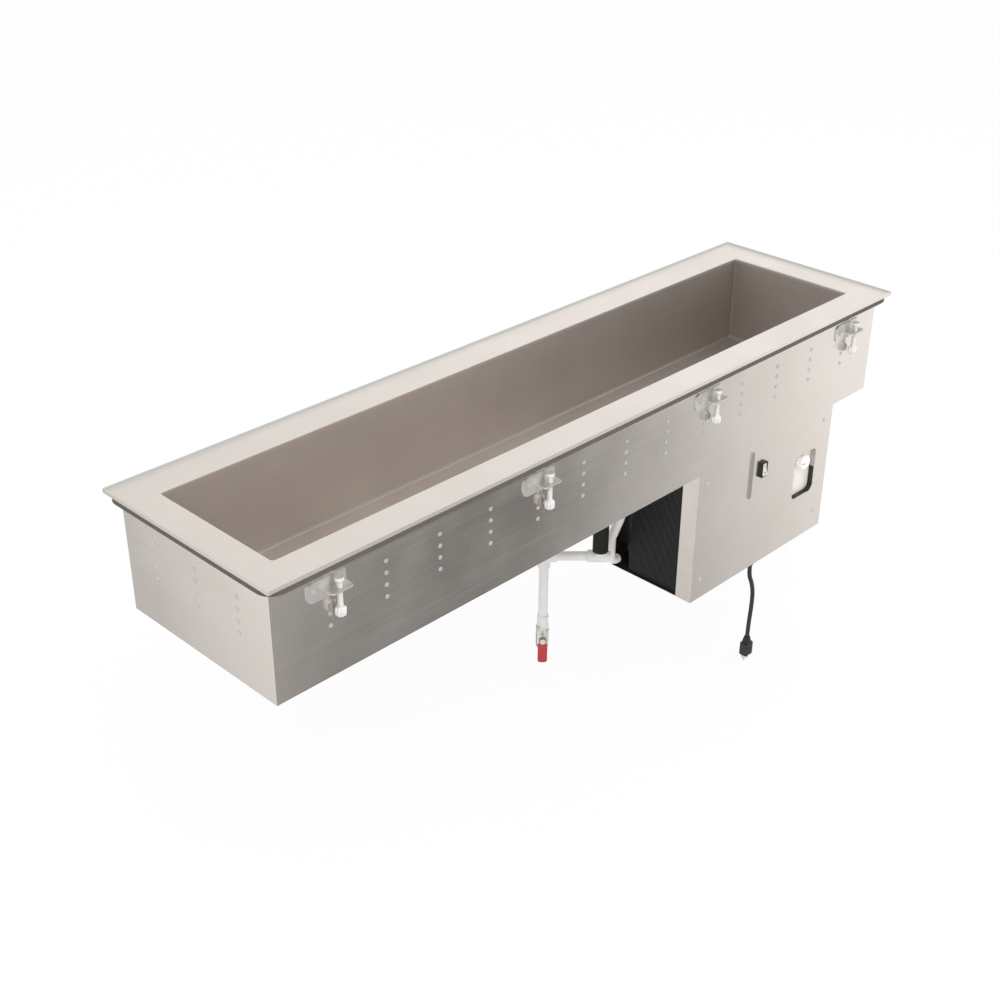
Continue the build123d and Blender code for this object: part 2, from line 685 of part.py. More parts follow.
def clamp_bolt():
    head = extrude(RegularPolygon(BOLT_HEAD_RADIUS, 6), amount=BOLT_HEAD_HEIGHT)
    shank = rod(BOLT_RADIUS, (0, 0, 0), (0, 0, -BOLT_LENGTH - LEG_SHEET))
    return Pos(BOLT_X, BOLT_Z, LEG_SHEET) * (head + shank)


def clamp_pad():
    """The swivel pad on a screw's tip."""
    pad = rod(PAD_RADIUS, (0, -PAD_TOP - PAD_HEIGHT, SCREW_OUT), (0, -PAD_TOP, SCREW_OUT))
    depth = SCREW_TIP_LENGTH + PAD_PLAY
    base = -PAD_TOP - PAD_HEIGHT
    bore = rod(SCREW_TIP_RADIUS + SCREW_CLEARANCE, (0, base, SCREW_OUT), (0, base + depth, SCREW_OUT))
    return pad - bore


def clamp_screw():
    """Thumb screw: fluted grip, thread and a turned tip that holds the pad."""
    shoulder = -PAD_TOP - PAD_HEIGHT - PAD_PLAY
    tip = shoulder + SCREW_TIP_LENGTH
    grip = Pos(0, 0, -GRIP_HEIGHT / 2) * Cylinder(GRIP_RADIUS, GRIP_HEIGHT)
    grip = fillet(grip.edges().filter_by(GeomType.CIRCLE), GRIP_ROUND)
    flute = rod(GRIP_FLUTE_RADIUS, (GRIP_RADIUS, 0, -GRIP_HEIGHT), (GRIP_RADIUS, 0, 0))
    grip -= [Rot(0, 0, i * 360 / GRIP_FLUTES) * flute for i in range(GRIP_FLUTES)]
    grip = Pos(0, -GRIP_TOP, SCREW_OUT) * Rot(-90, 0, 0) * grip
    thread = rod(SCREW_RADIUS, (0, -GRIP_TOP - GRIP_ROUND, SCREW_OUT), (0, shoulder, SCREW_OUT))
    return grip + thread + rod(SCREW_TIP_RADIUS, (0, shoulder, SCREW_OUT), (0, tip, SCREW_OUT))


def base_tray():
    tray = block((BOX_LEFT + PANEL_SHEET, BOX_RIGHT - PANEL_SHEET), (BOX_FRONT_INNER, BOX_REAR_INNER),
                 (BOX_UNDER, TRAY_TOP))
    hole = GLAND_NECK_RADIUS + GLAND_FIT
    return tray - rod(hole, (GLAND_X, GLAND_Y, BOX_UNDER), (GLAND_X, GLAND_Y, TRAY_TOP))


def box_wrap():
    """Right side and slotted back of the box, folded from one sheet."""
    rear = block((BOX_LEFT, BOX_RIGHT), (BOX_REAR_INNER, BOX_REAR), (BOX_UNDER, CASING_UNDER))
    side = block((BOX_RIGHT - PANEL_SHEET, BOX_RIGHT), (BOX_FRONT_INNER, BOX_REAR), (BOX_UNDER, CASING_UNDER))
    slot = extrude(Plane.XZ * SlotOverall(SLOT_LENGTH, SLOT_WIDTH), amount=-PANEL_SHEET)
    middle_x = (BOX_LEFT + BOX_RIGHT) / 2 + SLOT_OFFSET
    middle = (middle_x, BOX_REAR_INNER, (BOX_UNDER + CASING_UNDER) / 2)
    grid = GridLocations(SLOT_COLUMN_PITCH, SLOT_ROW_PITCH, SLOT_COLUMNS, SLOT_ROWS)
    places = [Pos(*middle) * Pos(spot.position.X, 0, spot.position.Y) for spot in grid]
    return rear + side - [place * slot for place in places]


def condenser_fins():
    width = COIL_REAR - COIL_FRONT
    count = int(width / FIN_PITCH)
    outline = Rectangle(COIL_THICK, width)
    groove = Rectangle(2 * FIN_GROOVE, FIN_GAP)
    edge = COIL_THICK / 2
    for y in [(i - (count - 1) / 2) * FIN_PITCH for i in range(count)]:
        outline -= Pos(-edge, y, 0) * groove
        outline -= Pos(edge, y, 0) * groove
    middle = (COIL_FRONT + COIL_REAR) / 2
    pack = Pos(COIL_TUBE_X, middle, TRAY_TOP) * extrude(outline, amount=COIL_TOP - TRAY_TOP)
    hole = COIL_TUBE_RADIUS + COIL_TUBE_CLEARANCE
    drill = rod(hole, (COIL_TUBE_X, COIL_FRONT, 0), (COIL_TUBE_X, COIL_REAR, 0))
    return pack - [Pos(0, 0, COIL_TUBE_Z - row * COIL_ROW_PITCH) * drill for row in range(COIL_ROWS)]


def condenser_tube():
    far = COIL_REAR + COIL_ROW_PITCH / 2
    near = COIL_FRONT - COIL_ROW_PITCH / 2
    points = [(COIL_TUBE_X, COIL_TUBE_END, COIL_TUBE_Z)]
    for row in range(COIL_ROWS - 1):
        y = far if row % 2 == 0 else near
        z = COIL_TUBE_Z - row * COIL_ROW_PITCH
        points += [(COIL_TUBE_X, y, z), (COIL_TUBE_X, y, z - COIL_ROW_PITCH)]
    points.append((COIL_TUBE_X, COIL_TUBE_END, COIL_LAST_Z))
    return bent_tube(points, COIL_BEND, COIL_TUBE_RADIUS)


def fan_shroud():
    end = SHROUD_X + SHROUD_SHEET
    plate = block((SHROUD_X, end), (BOX_FRONT_INNER, BOX_REAR_INNER), (TRAY_TOP, CASING_UNDER))
    mouth = FAN_RADIUS + FAN_TIP_GAP
    collar_end = end + SHROUD_COLLAR
    centre = (BOX_MIDDLE_Y, FAN_Z)
    plate += rod(mouth + SHROUD_SHEET, (SHROUD_X, *centre), (collar_end, *centre))
    plate -= rod(mouth, (SHROUD_X, *centre), (collar_end, *centre))
    for radius, y, z in (
        (LINE_RADIUS, LINE_Y, COIL_TUBE_Z),
        (LINE_RADIUS, LINE_Y, COIL_LAST_Z),
        (SUCTION_RADIUS, SUCTION_Y, SUCTION_Z),
    ):
        plate -= rod(radius + LINE_HOLE_GAP, (SHROUD_X, y, z), (end, y, z))
    return plate


def fan_motor():
    centre = (BOX_MIDDLE_Y, FAN_Z)
    motor = rod(MOTOR_RADIUS, (MOTOR_X, *centre), (MOTOR_X + MOTOR_LENGTH, *centre))
    motor = fillet(motor.edges().filter_by(GeomType.CIRCLE), MOTOR_ROUND)
    middle = MOTOR_X + MOTOR_LENGTH / 2
    foot = span(MOTOR_FOOT_LENGTH, middle)
    motor += block(foot, span(MOTOR_FOOT_WIDTH, BOX_MIDDLE_Y), (TRAY_TOP, FAN_Z))
    motor += block(foot, span(MOTOR_BASE_WIDTH, BOX_MIDDLE_Y), (TRAY_TOP, TRAY_TOP + MOTOR_BASE_SHEET))
    bore_end = FAN_X + FAN_HUB_LENGTH / 2 + FAN_SHAFT_LENGTH + FAN_SHAFT_PLAY
    return motor - rod(FAN_SHAFT_RADIUS + FAN_SHAFT_PLAY, (MOTOR_X, *centre), (bore_end, *centre))


def fan_blade():
    half = FAN_HUB_LENGTH / 2
    fan = rod(FAN_HUB_RADIUS, (-half, 0, 0), (half, 0, 0))
    length = FAN_RADIUS - FAN_HUB_RADIUS / 2
    blade = Rot(0, 0, FAN_PITCH) * Box(FAN_SHEET, FAN_CHORD, length)
    blade = Pos(0, 0, FAN_RADIUS - length / 2) * blade
    blades = [Rot(i * 360 / FAN_BLADES, 0, 0) * blade for i in range(FAN_BLADES)]
    fan = (fan + blades) & rod(FAN_RADIUS, (-FAN_CHORD, 0, 0), (FAN_CHORD, 0, 0))
    fan += rod(FAN_SHAFT_RADIUS, (half, 0, 0), (half + FAN_SHAFT_LENGTH, 0, 0))
    return Pos(FAN_X, BOX_MIDDLE_Y, FAN_Z) * fan


def compressor():
    shell = Pos(0, 0, SHELL_HEIGHT / 2) * Cylinder(SHELL_RADIUS, SHELL_HEIGHT)
    shell = fillet(shell.edges().filter_by(GeomType.CIRCLE), SHELL_ROUND)
    bead = span(SHELL_BEAD_HEIGHT, SHELL_HEIGHT / 2)
    shell += rod(SHELL_RADIUS + SHELL_BEAD, (0, 0, bead[0]), (0, 0, bead[1]))
    foot = block(span(FOOT_LENGTH), span(FOOT_WIDTH), (-FOOT_SHEET, 0))
    shell += fillet(foot.edges().filter_by(Axis.Z), FOOT_CORNER)
    stub_top = SHELL_HEIGHT + STUB_HEIGHT
    for side in (-1, 1):
        y = side * STUB_OFFSET
        shell += rod(STUB_RADIUS, (0, y, SHELL_HEIGHT / 2), (0, y, stub_top))
    return Pos(SHELL_X, SHELL_Y, SHELL_UNDER) * shell


def compressor_bushes():
    bush = rod(BUSH_RADIUS, (0, 0, TRAY_TOP), (0, 0, FOOT_Z))
    x = FOOT_LENGTH / 2 - BUSH_INSET
    y = FOOT_WIDTH / 2 - BUSH_INSET
    return [Pos(SHELL_X + i * x, SHELL_Y + j * y, 0) * bush for i in (-1, 1) for j in (-1, 1)]


def terminal_cover():
    out = SHELL_RADIUS + SHELL_BEAD + COVER_OUT
    lift = SHELL_UNDER + COVER_LIFT
    cover = block((SHELL_X, SHELL_X + out), span(COVER_WIDTH, SHELL_Y), span(COVER_HEIGHT, lift))
    cover = fillet(cover.edges().group_by(Axis.X)[-1], COVER_ROUND)
    shell = SHELL_RADIUS + SHELL_BEAD + COVER_GAP
    return cover - rod(shell, (SHELL_X, SHELL_Y, SHELL_UNDER), (SHELL_X, SHELL_Y, SHELL_TOP))


def filter_drier():
    drier = Pos(0, 0, DRIER_LENGTH / 2) * Cylinder(DRIER_RADIUS, DRIER_LENGTH)
    drier = fillet(drier.edges().filter_by(GeomType.CIRCLE), DRIER_ROUND)
    return Pos(DRIER_X, LINE_Y, DRIER_Z) * drier


def suction_route():
    """From the compressor to the open side of the box, then up to the casing."""
    turn_x = BOX_LEFT + SUCTION_FROM_LEFT
    return [
        (SHELL_X, SHELL_Y + STUB_OFFSET, STUB_TOP),
        (SHELL_X, SHELL_Y + STUB_OFFSET, LINE_TOP_Z),
        (turn_x, SHELL_Y + STUB_OFFSET, LINE_TOP_Z),
        (turn_x, SUCTION_Y, LINE_TOP_Z),
        (turn_x, SUCTION_Y, SUCTION_Z),
        (SUCTION_OUT_X, SUCTION_Y, SUCTION_Z),
        (SUCTION_OUT_X, SUCTION_Y, CASING_UNDER - SUCTION_JOG_BOTTOM),
        (SUCTION_OUT_X, SUCTION_JOG_Y, CASING_UNDER - SUCTION_JOG_TOP),
        (SUCTION_OUT_X, SUCTION_JOG_Y, CASING_UNDER),
    ]


def copper_lines():
    """Discharge, liquid, capillary and suction lines."""
    discharge = [
        (SHELL_X, SHELL_Y - STUB_OFFSET, STUB_TOP),
        (SHELL_X, SHELL_Y - STUB_OFFSET, COIL_TUBE_Z),
        (SHELL_X, LINE_Y, COIL_TUBE_Z),
        (COIL_TUBE_X, LINE_Y, COIL_TUBE_Z),
        (COIL_TUBE_X, COIL_TUBE_END, COIL_TUBE_Z),
    ]
    liquid = [
        (COIL_TUBE_X, COIL_TUBE_END, COIL_LAST_Z),
        (COIL_TUBE_X, LINE_Y, COIL_LAST_Z),
        (DRIER_X, LINE_Y, COIL_LAST_Z),
        (DRIER_X, LINE_Y, DRIER_Z),
    ]
    drier_top = DRIER_Z + DRIER_LENGTH
    capillary = rod(CAPILLARY_RADIUS, (DRIER_X, LINE_Y, drier_top), (DRIER_X, LINE_Y, CASING_UNDER))
    return [
        bent_tube(discharge, LINE_BEND, LINE_RADIUS),
        bent_tube(liquid, LINE_BEND, LINE_RADIUS),
        capillary,
        bent_tube(suction_route(), SUCTION_BEND, SUCTION_RADIUS),
    ]


def line_insulation():
    """Foam sleeve on the stretch of the suction line outside the box."""
    points = [(BOX_LEFT + SLEEVE_START, SUCTION_Y, SUCTION_Z)] + suction_route()[5:]
    return bent_tube(points, SUCTION_BEND, SUCTION_RADIUS + SLEEVE_WALL, SUCTION_RADIUS + SLEEVE_GAP)


def control_pocket():
    """Black frame behind the panel's opening."""
    flange = extrude(Pos(0, 0, -PANEL_SHEET) * pocket_outline(POCKET_FLANGE), amount=-POCKET_WALL)
    frame = extrude(Pos(0, 0, -PANEL_SHEET) * pocket_outline(POCKET_WALL), amount=PANEL_SHEET - POCKET_DEPTH)
    return FRONT * (flange + frame - extrude(pocket_outline(), amount=-POCKET_DEPTH))


def thermostat_body():
    """Thermostat on the light plate that closes the pocket's back."""
    plate = Pos(0, 0, -POCKET_DEPTH) * pocket_outline(POCKET_WALL)
    body = extrude(plate, amount=-FACEPLATE_SHEET)
    back = -POCKET_DEPTH - FACEPLATE_SHEET
    case = block(span(THERMOSTAT_WIDTH), span(THERMOSTAT_HEIGHT), (back - THERMOSTAT_DEPTH, back))
    case = fillet(case.edges().group_by(Axis.Z)[0], THERMOSTAT_ROUND)
    body += Pos(KNOB_X, KNOB_Z, 0) * case
    depth = POCKET_DEPTH - KNOB_LIFT + SHAFT_LENGTH + SHAFT_PLAY
    bore = rod(SHAFT_RADIUS + SHAFT_PLAY, (KNOB_X, KNOB_Z, -POCKET_DEPTH), (KNOB_X, KNOB_Z, -depth))
    return FRONT * (body - bore)


def thermostat_knob():
    foot = KNOB_LIFT - POCKET_DEPTH
    knob = block(span(2 * KNOB_RADIUS), span(2 * KNOB_RADIUS), (foot, KNOB_PROUD))
    knob &= rod(KNOB_RADIUS, (0, 0, foot), (0, 0, KNOB_PROUD))
    knob = fillet(knob.edges().group_by(Axis.Z)[-1], KNOB_ROUND)
    mark = (-KNOB_RADIUS + 2 * KNOB_ROUND, -KNOB_RADIUS + 2 * KNOB_ROUND + KNOB_MARK_LENGTH)
    knob -= block(mark, span(KNOB_MARK_WIDTH), (KNOB_PROUD - KNOB_MARK_DEPTH, KNOB_PROUD))
    knob += rod(SHAFT_RADIUS, (0, 0, foot), (0, 0, foot - SHAFT_LENGTH))
    return FRONT * Pos(KNOB_X, KNOB_Z, 0) * knob


def switch_body():
    bezel = block(span(SWITCH_WIDTH), span(SWITCH_HEIGHT), (0, SWITCH_OUT))
    neck_width = SWITCH_WIDTH - 2 * SWITCH_SHOULDER
    neck_height = SWITCH_HEIGHT - 2 * SWITCH_SHOULDER
    body = bezel + block(span(neck_width), span(neck_height), (-SWITCH_DEPTH, 0))
    inner_width = SWITCH_WIDTH - 2 * SWITCH_WALL
    inner_height = SWITCH_HEIGHT - 2 * SWITCH_WALL
    body -= block(span(inner_width), span(inner_height), (SWITCH_FLOOR, SWITCH_OUT))
    reach = inner_width / 2 - ROCKER_SIDE_GAP + ROCKER_PIN_LENGTH + ROCKER_PIN_PLAY
    body -= rod(ROCKER_PIN_RADIUS + ROCKER_PIN_PLAY, (-reach, 0, ROCKER_PIVOT), (reach, 0, ROCKER_PIVOT))
    return FRONT * Pos(SWITCH_X, SWITCH_Z, 0) * body


def switch_rocker():
    """Paddle with a dished face on a cross pin, its top end pressed in."""
    half_width = SWITCH_WIDTH / 2 - SWITCH_WALL - ROCKER_SIDE_GAP
    half = SWITCH_HEIGHT / 2 - SWITCH_WALL - ROCKER_END_GAP
    outline = Polyline(
        (-half, ROCKER_HIP), (0, ROCKER_KEEL), (half, ROCKER_HIP),
        (half, ROCKER_HORN), (0, ROCKER_DIP), (-half, ROCKER_HORN), close=True,
    )
    side = Plane(origin=(-half_width, 0, 0), x_dir=(0, 1, 0), z_dir=(1, 0, 0))
    paddle = extrude(side * make_face(outline), amount=2 * half_width)
    reach = half_width + ROCKER_PIN_LENGTH
    paddle += rod(ROCKER_PIN_RADIUS, (-reach, 0, ROCKER_PIVOT), (reach, 0, ROCKER_PIVOT))
    tilt = Pos(0, 0, ROCKER_PIVOT) * Rot(-ROCKER_TILT, 0, 0) * Pos(0, 0, -ROCKER_PIVOT)
    return FRONT * Pos(SWITCH_X, SWITCH_Z, 0) * tilt * paddle


def drain_spigot():
    """Flanged tube from the well's floor down to the tee."""
    top = WELL_FLOOR + SPIGOT_FLANGE_THICK
    end = DRAIN_PIPE_Z + FITTING_REACH - SOCKET_DEPTH
    tube = rod(SPIGOT_RADIUS, (DRAIN_X, 0, end), (DRAIN_X, 0, top))
    tube += rod(SPIGOT_FLANGE_RADIUS, (DRAIN_X, 0, WELL_FLOOR), (DRAIN_X, 0, top))
    return tube - rod(SPIGOT_BORE, (DRAIN_X, 0, end), (DRAIN_X, 0, top))


def strainer_holes(count, ring):
    drill = rod(STRAINER_HOLE_RADIUS, (ring, 0, 0), (ring, 0, STRAINER_THICK))
    return [Rot(0, 0, i * 360 / count) * drill for i in range(count)]


def drain_strainer():
    skirt = SPIGOT_BORE - STRAINER_FIT
    cup = rod(STRAINER_RADIUS, (0, 0, 0), (0, 0, STRAINER_THICK))
    cup += rod(skirt, (0, 0, -STRAINER_SKIRT), (0, 0, 0))
    cup -= rod(skirt - STRAINER_SKIRT_WALL, (0, 0, -STRAINER_SKIRT), (0, 0, 0))
    cup -= strainer_holes(STRAINER_HOLES, STRAINER_RING)
    cup -= strainer_holes(STRAINER_INNER_HOLES, STRAINER_INNER_RING)
    return Pos(DRAIN_X, 0, WELL_FLOOR + SPIGOT_FLANGE_THICK) * cup


def drain_sleeve():
    """Black foam sleeve on the drain tube; its foot slips over the tee's socket."""
    foot = DRAIN_PIPE_Z + FITTING_RADIUS
    socket_top = DRAIN_PIPE_Z + FITTING_REACH
    sleeve = rod(SLEEVE_RADIUS, (DRAIN_X, 0, foot), (DRAIN_X, 0, CASING_UNDER))
    sleeve -= rod(SPIGOT_RADIUS + SLEEVE_PLAY, (DRAIN_X, 0, foot), (DRAIN_X, 0, CASING_UNDER))
    return sleeve - rod(FITTING_RADIUS + SLEEVE_PLAY, (DRAIN_X, 0, foot), (DRAIN_X, 0, socket_top))


def socket_cut(direction):
    """Pipe socket and bore of a fitting, from its middle along a direction."""
    end = [FITTING_REACH * d for d in direction]
    seat = [(FITTING_REACH - SOCKET_DEPTH) * d for d in direction]
    return rod(PIPE_BORE, (0, 0, 0), end) + rod(PIPE_RADIUS + SOCKET_CLEARANCE, seat, end)


def drain_tee():
    """White tee; its spare end is closed by a plug glued in."""
    reach = FITTING_REACH
    spare = -TEE_END_REACH
    tee = rod(FITTING_RADIUS, (spare, 0, 0), (reach, 0, 0)) + rod(FITTING_RADIUS, (0, 0, 0), (0, 0, reach))
    tee -= [socket_cut((1, 0, 0)), socket_cut((0, 0, 1))]
    tee += rod(TEE_PLUG_RADIUS, (spare, 0, 0), (spare - TEE_PLUG_LENGTH, 0, 0))
    return DRAIN * tee


def drain_cross_pipe():
    start = (FITTING_REACH - SOCKET_DEPTH, 0, 0)
    end = (DRAIN_RUN - FITTING_REACH + SOCKET_DEPTH, 0, 0)
    return DRAIN * (rod(PIPE_RADIUS, start, end) - rod(PIPE_BORE, start, end))


def drain_elbow():
    reach = FITTING_REACH
    elbow = rod(FITTING_RADIUS, (-reach, 0, 0), (0, 0, 0)) + rod(FITTING_RADIUS, (0, 0, -reach), (0, 0, 0))
    elbow += Sphere(FITTING_RADIUS)
    elbow -= [socket_cut((-1, 0, 0)), socket_cut((0, 0, -1))]
    return DRAIN * Pos(DRAIN_RUN, 0, 0) * elbow


def drain_down_pipe():
    """Vertical pipe with a threaded adapter glued on its foot."""
    top = SOCKET_DEPTH - FITTING_REACH
    foot = -DOWN_PIPE_DROP
    pipe = rod(PIPE_RADIUS, (0, 0, top), (0, 0, foot))
    pipe += rod(ADAPTER_RADIUS, (0, 0, foot + ADAPTER_LENGTH), (0, 0, foot))
    pipe += rod(NIPPLE_RADIUS, (0, 0, foot), (0, 0, foot - NIPPLE_LENGTH))
    pipe -= rod(BALL_BORE, (0, 0, top), (0, 0, foot - NIPPLE_LENGTH))
    return DRAIN * Pos(DRAIN_RUN, 0, 0) * pipe


def valve_frame():
    """Local frame of the valve: z up the pipe, y along the stem."""
    return DRAIN * Pos(DRAIN_RUN, 0, VALVE_Z)


def valve_body():
    half = VALVE_HALF
    hexagon = extrude(RegularPolygon(VALVE_HEX_RADIUS, 6), amount=VALVE_HEX_HEIGHT)
    body = rod(VALVE_BARREL_RADIUS, (0, 0, VALVE_HEX_HEIGHT - half), (0, 0, half - VALVE_HEX_HEIGHT))
    body += Pos(0, 0, -half) * hexagon
    body += Pos(0, 0, half - VALVE_HEX_HEIGHT) * hexagon
    body += rod(STEM_BOSS_RADIUS, (0, 0, 0), (0, STEM_BOSS_OUT, 0))
    body -= rod(BALL_BORE, (0, 0, -half), (0, 0, half))
    body -= Sphere(BALL_RADIUS + VALVE_SEAT_GAP)
    body -= rod(STEM_RADIUS + STEM_PLAY, (0, 0, 0), (0, STEM_BOSS_OUT, 0))
    for side in (-1, 1):
        body -= rod(VALVE_THREAD_RADIUS, (0, 0, side * half), (0, 0, side * (half - VALVE_THREAD_DEPTH)))
    return valve_frame() * body


def valve_ball():
    """Bored ball and stem, with the head that holds the lever on."""
    end = STEM_BOSS_OUT + LEVER_GAP + LEVER_THICK
    ball = Sphere(BALL_RADIUS) - rod(BALL_BORE, (0, 0, -BALL_RADIUS), (0, 0, BALL_RADIUS))
    ball += rod(STEM_RADIUS, (0, BALL_BORE + STEM_PLAY, 0), (0, end, 0))
    ball += rod(STEM_HEAD_RADIUS, (0, end, 0), (0, end + STEM_HEAD_HEIGHT, 0))
    return valve_frame() * ball


def valve_lever():
    start = STEM_BOSS_OUT + LEVER_GAP
    lever = block(span(LEVER_WIDTH), (start, start + LEVER_THICK), (-LEVER_BELOW, LEVER_ABOVE))
    lever = fillet(lever.edges().filter_by(Axis.Y), LEVER_WIDTH / 2 - LEVER_ROUND)
    lever = fillet(lever.edges().group_by(Axis.Y)[0] + lever.edges().group_by(Axis.Y)[-1], LEVER_ROUND)
    lever -= rod(STEM_RADIUS + LEVER_FIT, (0, start, 0), (0, start + LEVER_THICK, 0))
    return valve_frame() * lever


def cord_gland():
    """Tapered strain relief through the base tray."""
    top = TRAY_TOP + GLAND_INSIDE
    gland = rod(GLAND_NECK_RADIUS, (0, 0, BOX_UNDER), (0, 0, top))
    gland += cone(GLAND_FLANGE_RADIUS, GLAND_MOUTH_RADIUS, (0, 0, BOX_UNDER), (0, 0, GLAND_MOUTH_Z))
    gland += rod(GLAND_FLANGE_RADIUS, (0, 0, TRAY_TOP), (0, 0, TRAY_TOP + GLAND_FLANGE_HEIGHT))
    return Pos(GLAND_X, GLAND_Y, 0) * gland


def cord_bends():
    """The largest arc that each corner of the cord's route takes."""
    route = [Vector(*point) for point in CORD_ROUTE]
    runs = [after - before for before, after in zip(route, route[1:])]
    bends = []
    for before, after in zip(runs, runs[1:]):
        half_turn = radians(before.get_angle(after)) / 2
        bends.append(CORD_ARC_SHARE * min(before.length, after.length) / tan(half_turn))
    return bends


def power_cord():
    bends = cord_bends()
    cord = bent_tube(CORD_ROUTE, bends, CORD_RADIUS)
    length = FilletPolyline(*CORD_ROUTE, radius=bends).length
    section = Circle(CORD_RADIUS).area
    print("cord radii", [round(bend, 1) for bend in bends])
    print("cord length", round(length, 1))
    print("cord volume over section times length", round(cord.volume / section / length, 4))
    return cord


def power_plug():
    """Moulded plug with its tail, two flat prongs and a round ground prong."""
    x, y, top = CORD_ROUTE[-1]
    shoulder = top - PLUG_TAIL
    foot = shoulder - PLUG_HEIGHT
    plug = block(span(PLUG_WIDTH), span(PLUG_DEPTH), (foot, shoulder))
    plug = fillet(plug.edges().filter_by(Axis.Z), PLUG_ROUND)
    plug = fillet(plug.edges().group_by(Axis.Z)[-1], PLUG_ROUND / 2)
    plug += cone(PLUG_TAIL_RADIUS, 2 * PLUG_TAIL_RADIUS - CORD_RADIUS, (0, 0, top), (0, 0, shoulder))
    for side in (-1, 1):
        prong = span(PRONG_THICK, side * PRONG_SPACING / 2)
        plug += block(prong, span(PRONG_WIDTH), (foot - PRONG_LENGTH, foot))
    plug += rod(GROUND_RADIUS, (0, GROUND_SETBACK, foot), (0, GROUND_SETBACK, foot - PRONG_LENGTH))
    return Pos(x, y, 0) * plug


def clamp_places():
    """Frames of all clamps: the front row from the left, then the back row."""
    return [face * Pos(x, 0, 0) for face in (FRONT, BACK) for x in CLAMP_X]


PIECES = {
    "well_liner": well_liner(),
    "rim_gasket": rim_gasket(),
    "insulation_foam": insulation_foam(),
    "evaporator_tube": evaporator_tube(),
    "front_panel": front_panel(),
    "back_panel": back_panel(),
    "left_end_panel": end_panel(LEFT),
    "right_end_panel": end_panel(RIGHT),
    "bottom_panel": bottom_panel(),
    "vent_plugs": vent_plugs(),
    "panel_rivets": panel_rivets(),
    "clamp_brackets": [place * clamp_bracket() for place in clamp_places()],
    "clamp_bolts": [place * clamp_bolt() for place in clamp_places()],
    "base_tray": base_tray(),
    "box_wrap": box_wrap(),
    "condenser_fins": condenser_fins(),
    "condenser_tube": condenser_tube(),
    "fan_shroud": fan_shroud(),
    "fan_motor": fan_motor(),
    "fan_blade": fan_blade(),
    "compressor": compressor(),
    "compressor_bushes": compressor_bushes(),
    "terminal_cover": terminal_cover(),
    "filter_drier": filter_drier(),
    "copper_lines": copper_lines(),
    "line_insulation": line_insulation(),
    "control_pocket": control_pocket(),
    "thermostat_body": thermostat_body(),
    "thermostat_knob": thermostat_knob(),
    "switch_body": switch_body(),
    "switch_rocker": switch_rocker(),
    "drain_spigot": drain_spigot(),
    "drain_strainer": drain_strainer(),
    "drain_sleeve": drain_sleeve(),
    "drain_tee": drain_tee(),
    "drain_cross_pipe": drain_cross_pipe(),
    "drain_elbow": drain_elbow(),
    "drain_down_pipe": drain_down_pipe(),
    "valve_body": valve_body(),
    "valve_ball": valve_ball(),
    "valve_lever": valve_lever(),
    "cord_gland": cord_gland(),
    "power_cord": power_cord(),
    "power_plug": power_plug(),
}
for number, place in enumerate(clamp_places(), start=1):
    PIECES[f"clamp_pad_{number}"] = place * clamp_pad()
    PIECES[f"clamp_screw_{number}"] = place * clamp_screw()

for name, shape in PIECES.items():
    whole = Compound(children=shape) if isinstance(shape, list) else shape
    export_step(whole, f"parts/{name}.step")
print(len(PIECES), "nodes")
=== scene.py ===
# %% [markdown]
# # A refrigerated drop-in well
# A cold well hangs by its rim in a hole cut in a buffet counter. Food pans sit in the stainless tub, and a
# compressor box under the right end keeps it cold. The shapes come from CAD, so here we load them as a
# fixed frame, and then give each surface its finish and add the small pieces that need a finer mesh.

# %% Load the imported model
import json
import math

import bmesh
import bpy
from mathutils import Matrix, Vector

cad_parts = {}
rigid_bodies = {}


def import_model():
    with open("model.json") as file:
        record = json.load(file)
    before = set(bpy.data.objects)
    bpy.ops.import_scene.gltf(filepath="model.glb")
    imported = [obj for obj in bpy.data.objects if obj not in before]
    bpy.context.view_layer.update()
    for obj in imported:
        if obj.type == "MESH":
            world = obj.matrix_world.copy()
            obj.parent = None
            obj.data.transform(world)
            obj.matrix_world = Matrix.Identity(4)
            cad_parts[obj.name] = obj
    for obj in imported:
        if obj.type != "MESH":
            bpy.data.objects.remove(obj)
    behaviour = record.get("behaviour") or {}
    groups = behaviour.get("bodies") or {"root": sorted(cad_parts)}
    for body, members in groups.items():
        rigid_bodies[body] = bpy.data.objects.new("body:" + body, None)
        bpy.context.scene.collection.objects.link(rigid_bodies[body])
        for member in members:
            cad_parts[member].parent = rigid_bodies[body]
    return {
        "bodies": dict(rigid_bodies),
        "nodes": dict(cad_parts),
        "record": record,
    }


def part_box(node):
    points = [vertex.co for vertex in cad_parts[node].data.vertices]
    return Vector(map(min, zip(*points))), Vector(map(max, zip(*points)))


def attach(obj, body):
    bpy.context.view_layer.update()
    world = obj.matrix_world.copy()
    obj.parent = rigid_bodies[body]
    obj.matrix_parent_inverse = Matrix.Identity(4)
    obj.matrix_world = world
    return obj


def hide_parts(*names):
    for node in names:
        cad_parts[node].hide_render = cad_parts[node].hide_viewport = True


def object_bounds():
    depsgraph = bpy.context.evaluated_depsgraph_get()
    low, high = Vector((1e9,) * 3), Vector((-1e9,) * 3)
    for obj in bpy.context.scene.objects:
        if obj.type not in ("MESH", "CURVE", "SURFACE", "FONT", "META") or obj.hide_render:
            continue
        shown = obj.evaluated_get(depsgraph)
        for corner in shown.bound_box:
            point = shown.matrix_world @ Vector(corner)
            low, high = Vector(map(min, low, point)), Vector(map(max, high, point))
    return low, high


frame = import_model()
cad_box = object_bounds()
nodes = frame["nodes"]
MM = 0.001
print("CAD box in mm", [[round(v / MM, 1) for v in corner] for corner in cad_box])

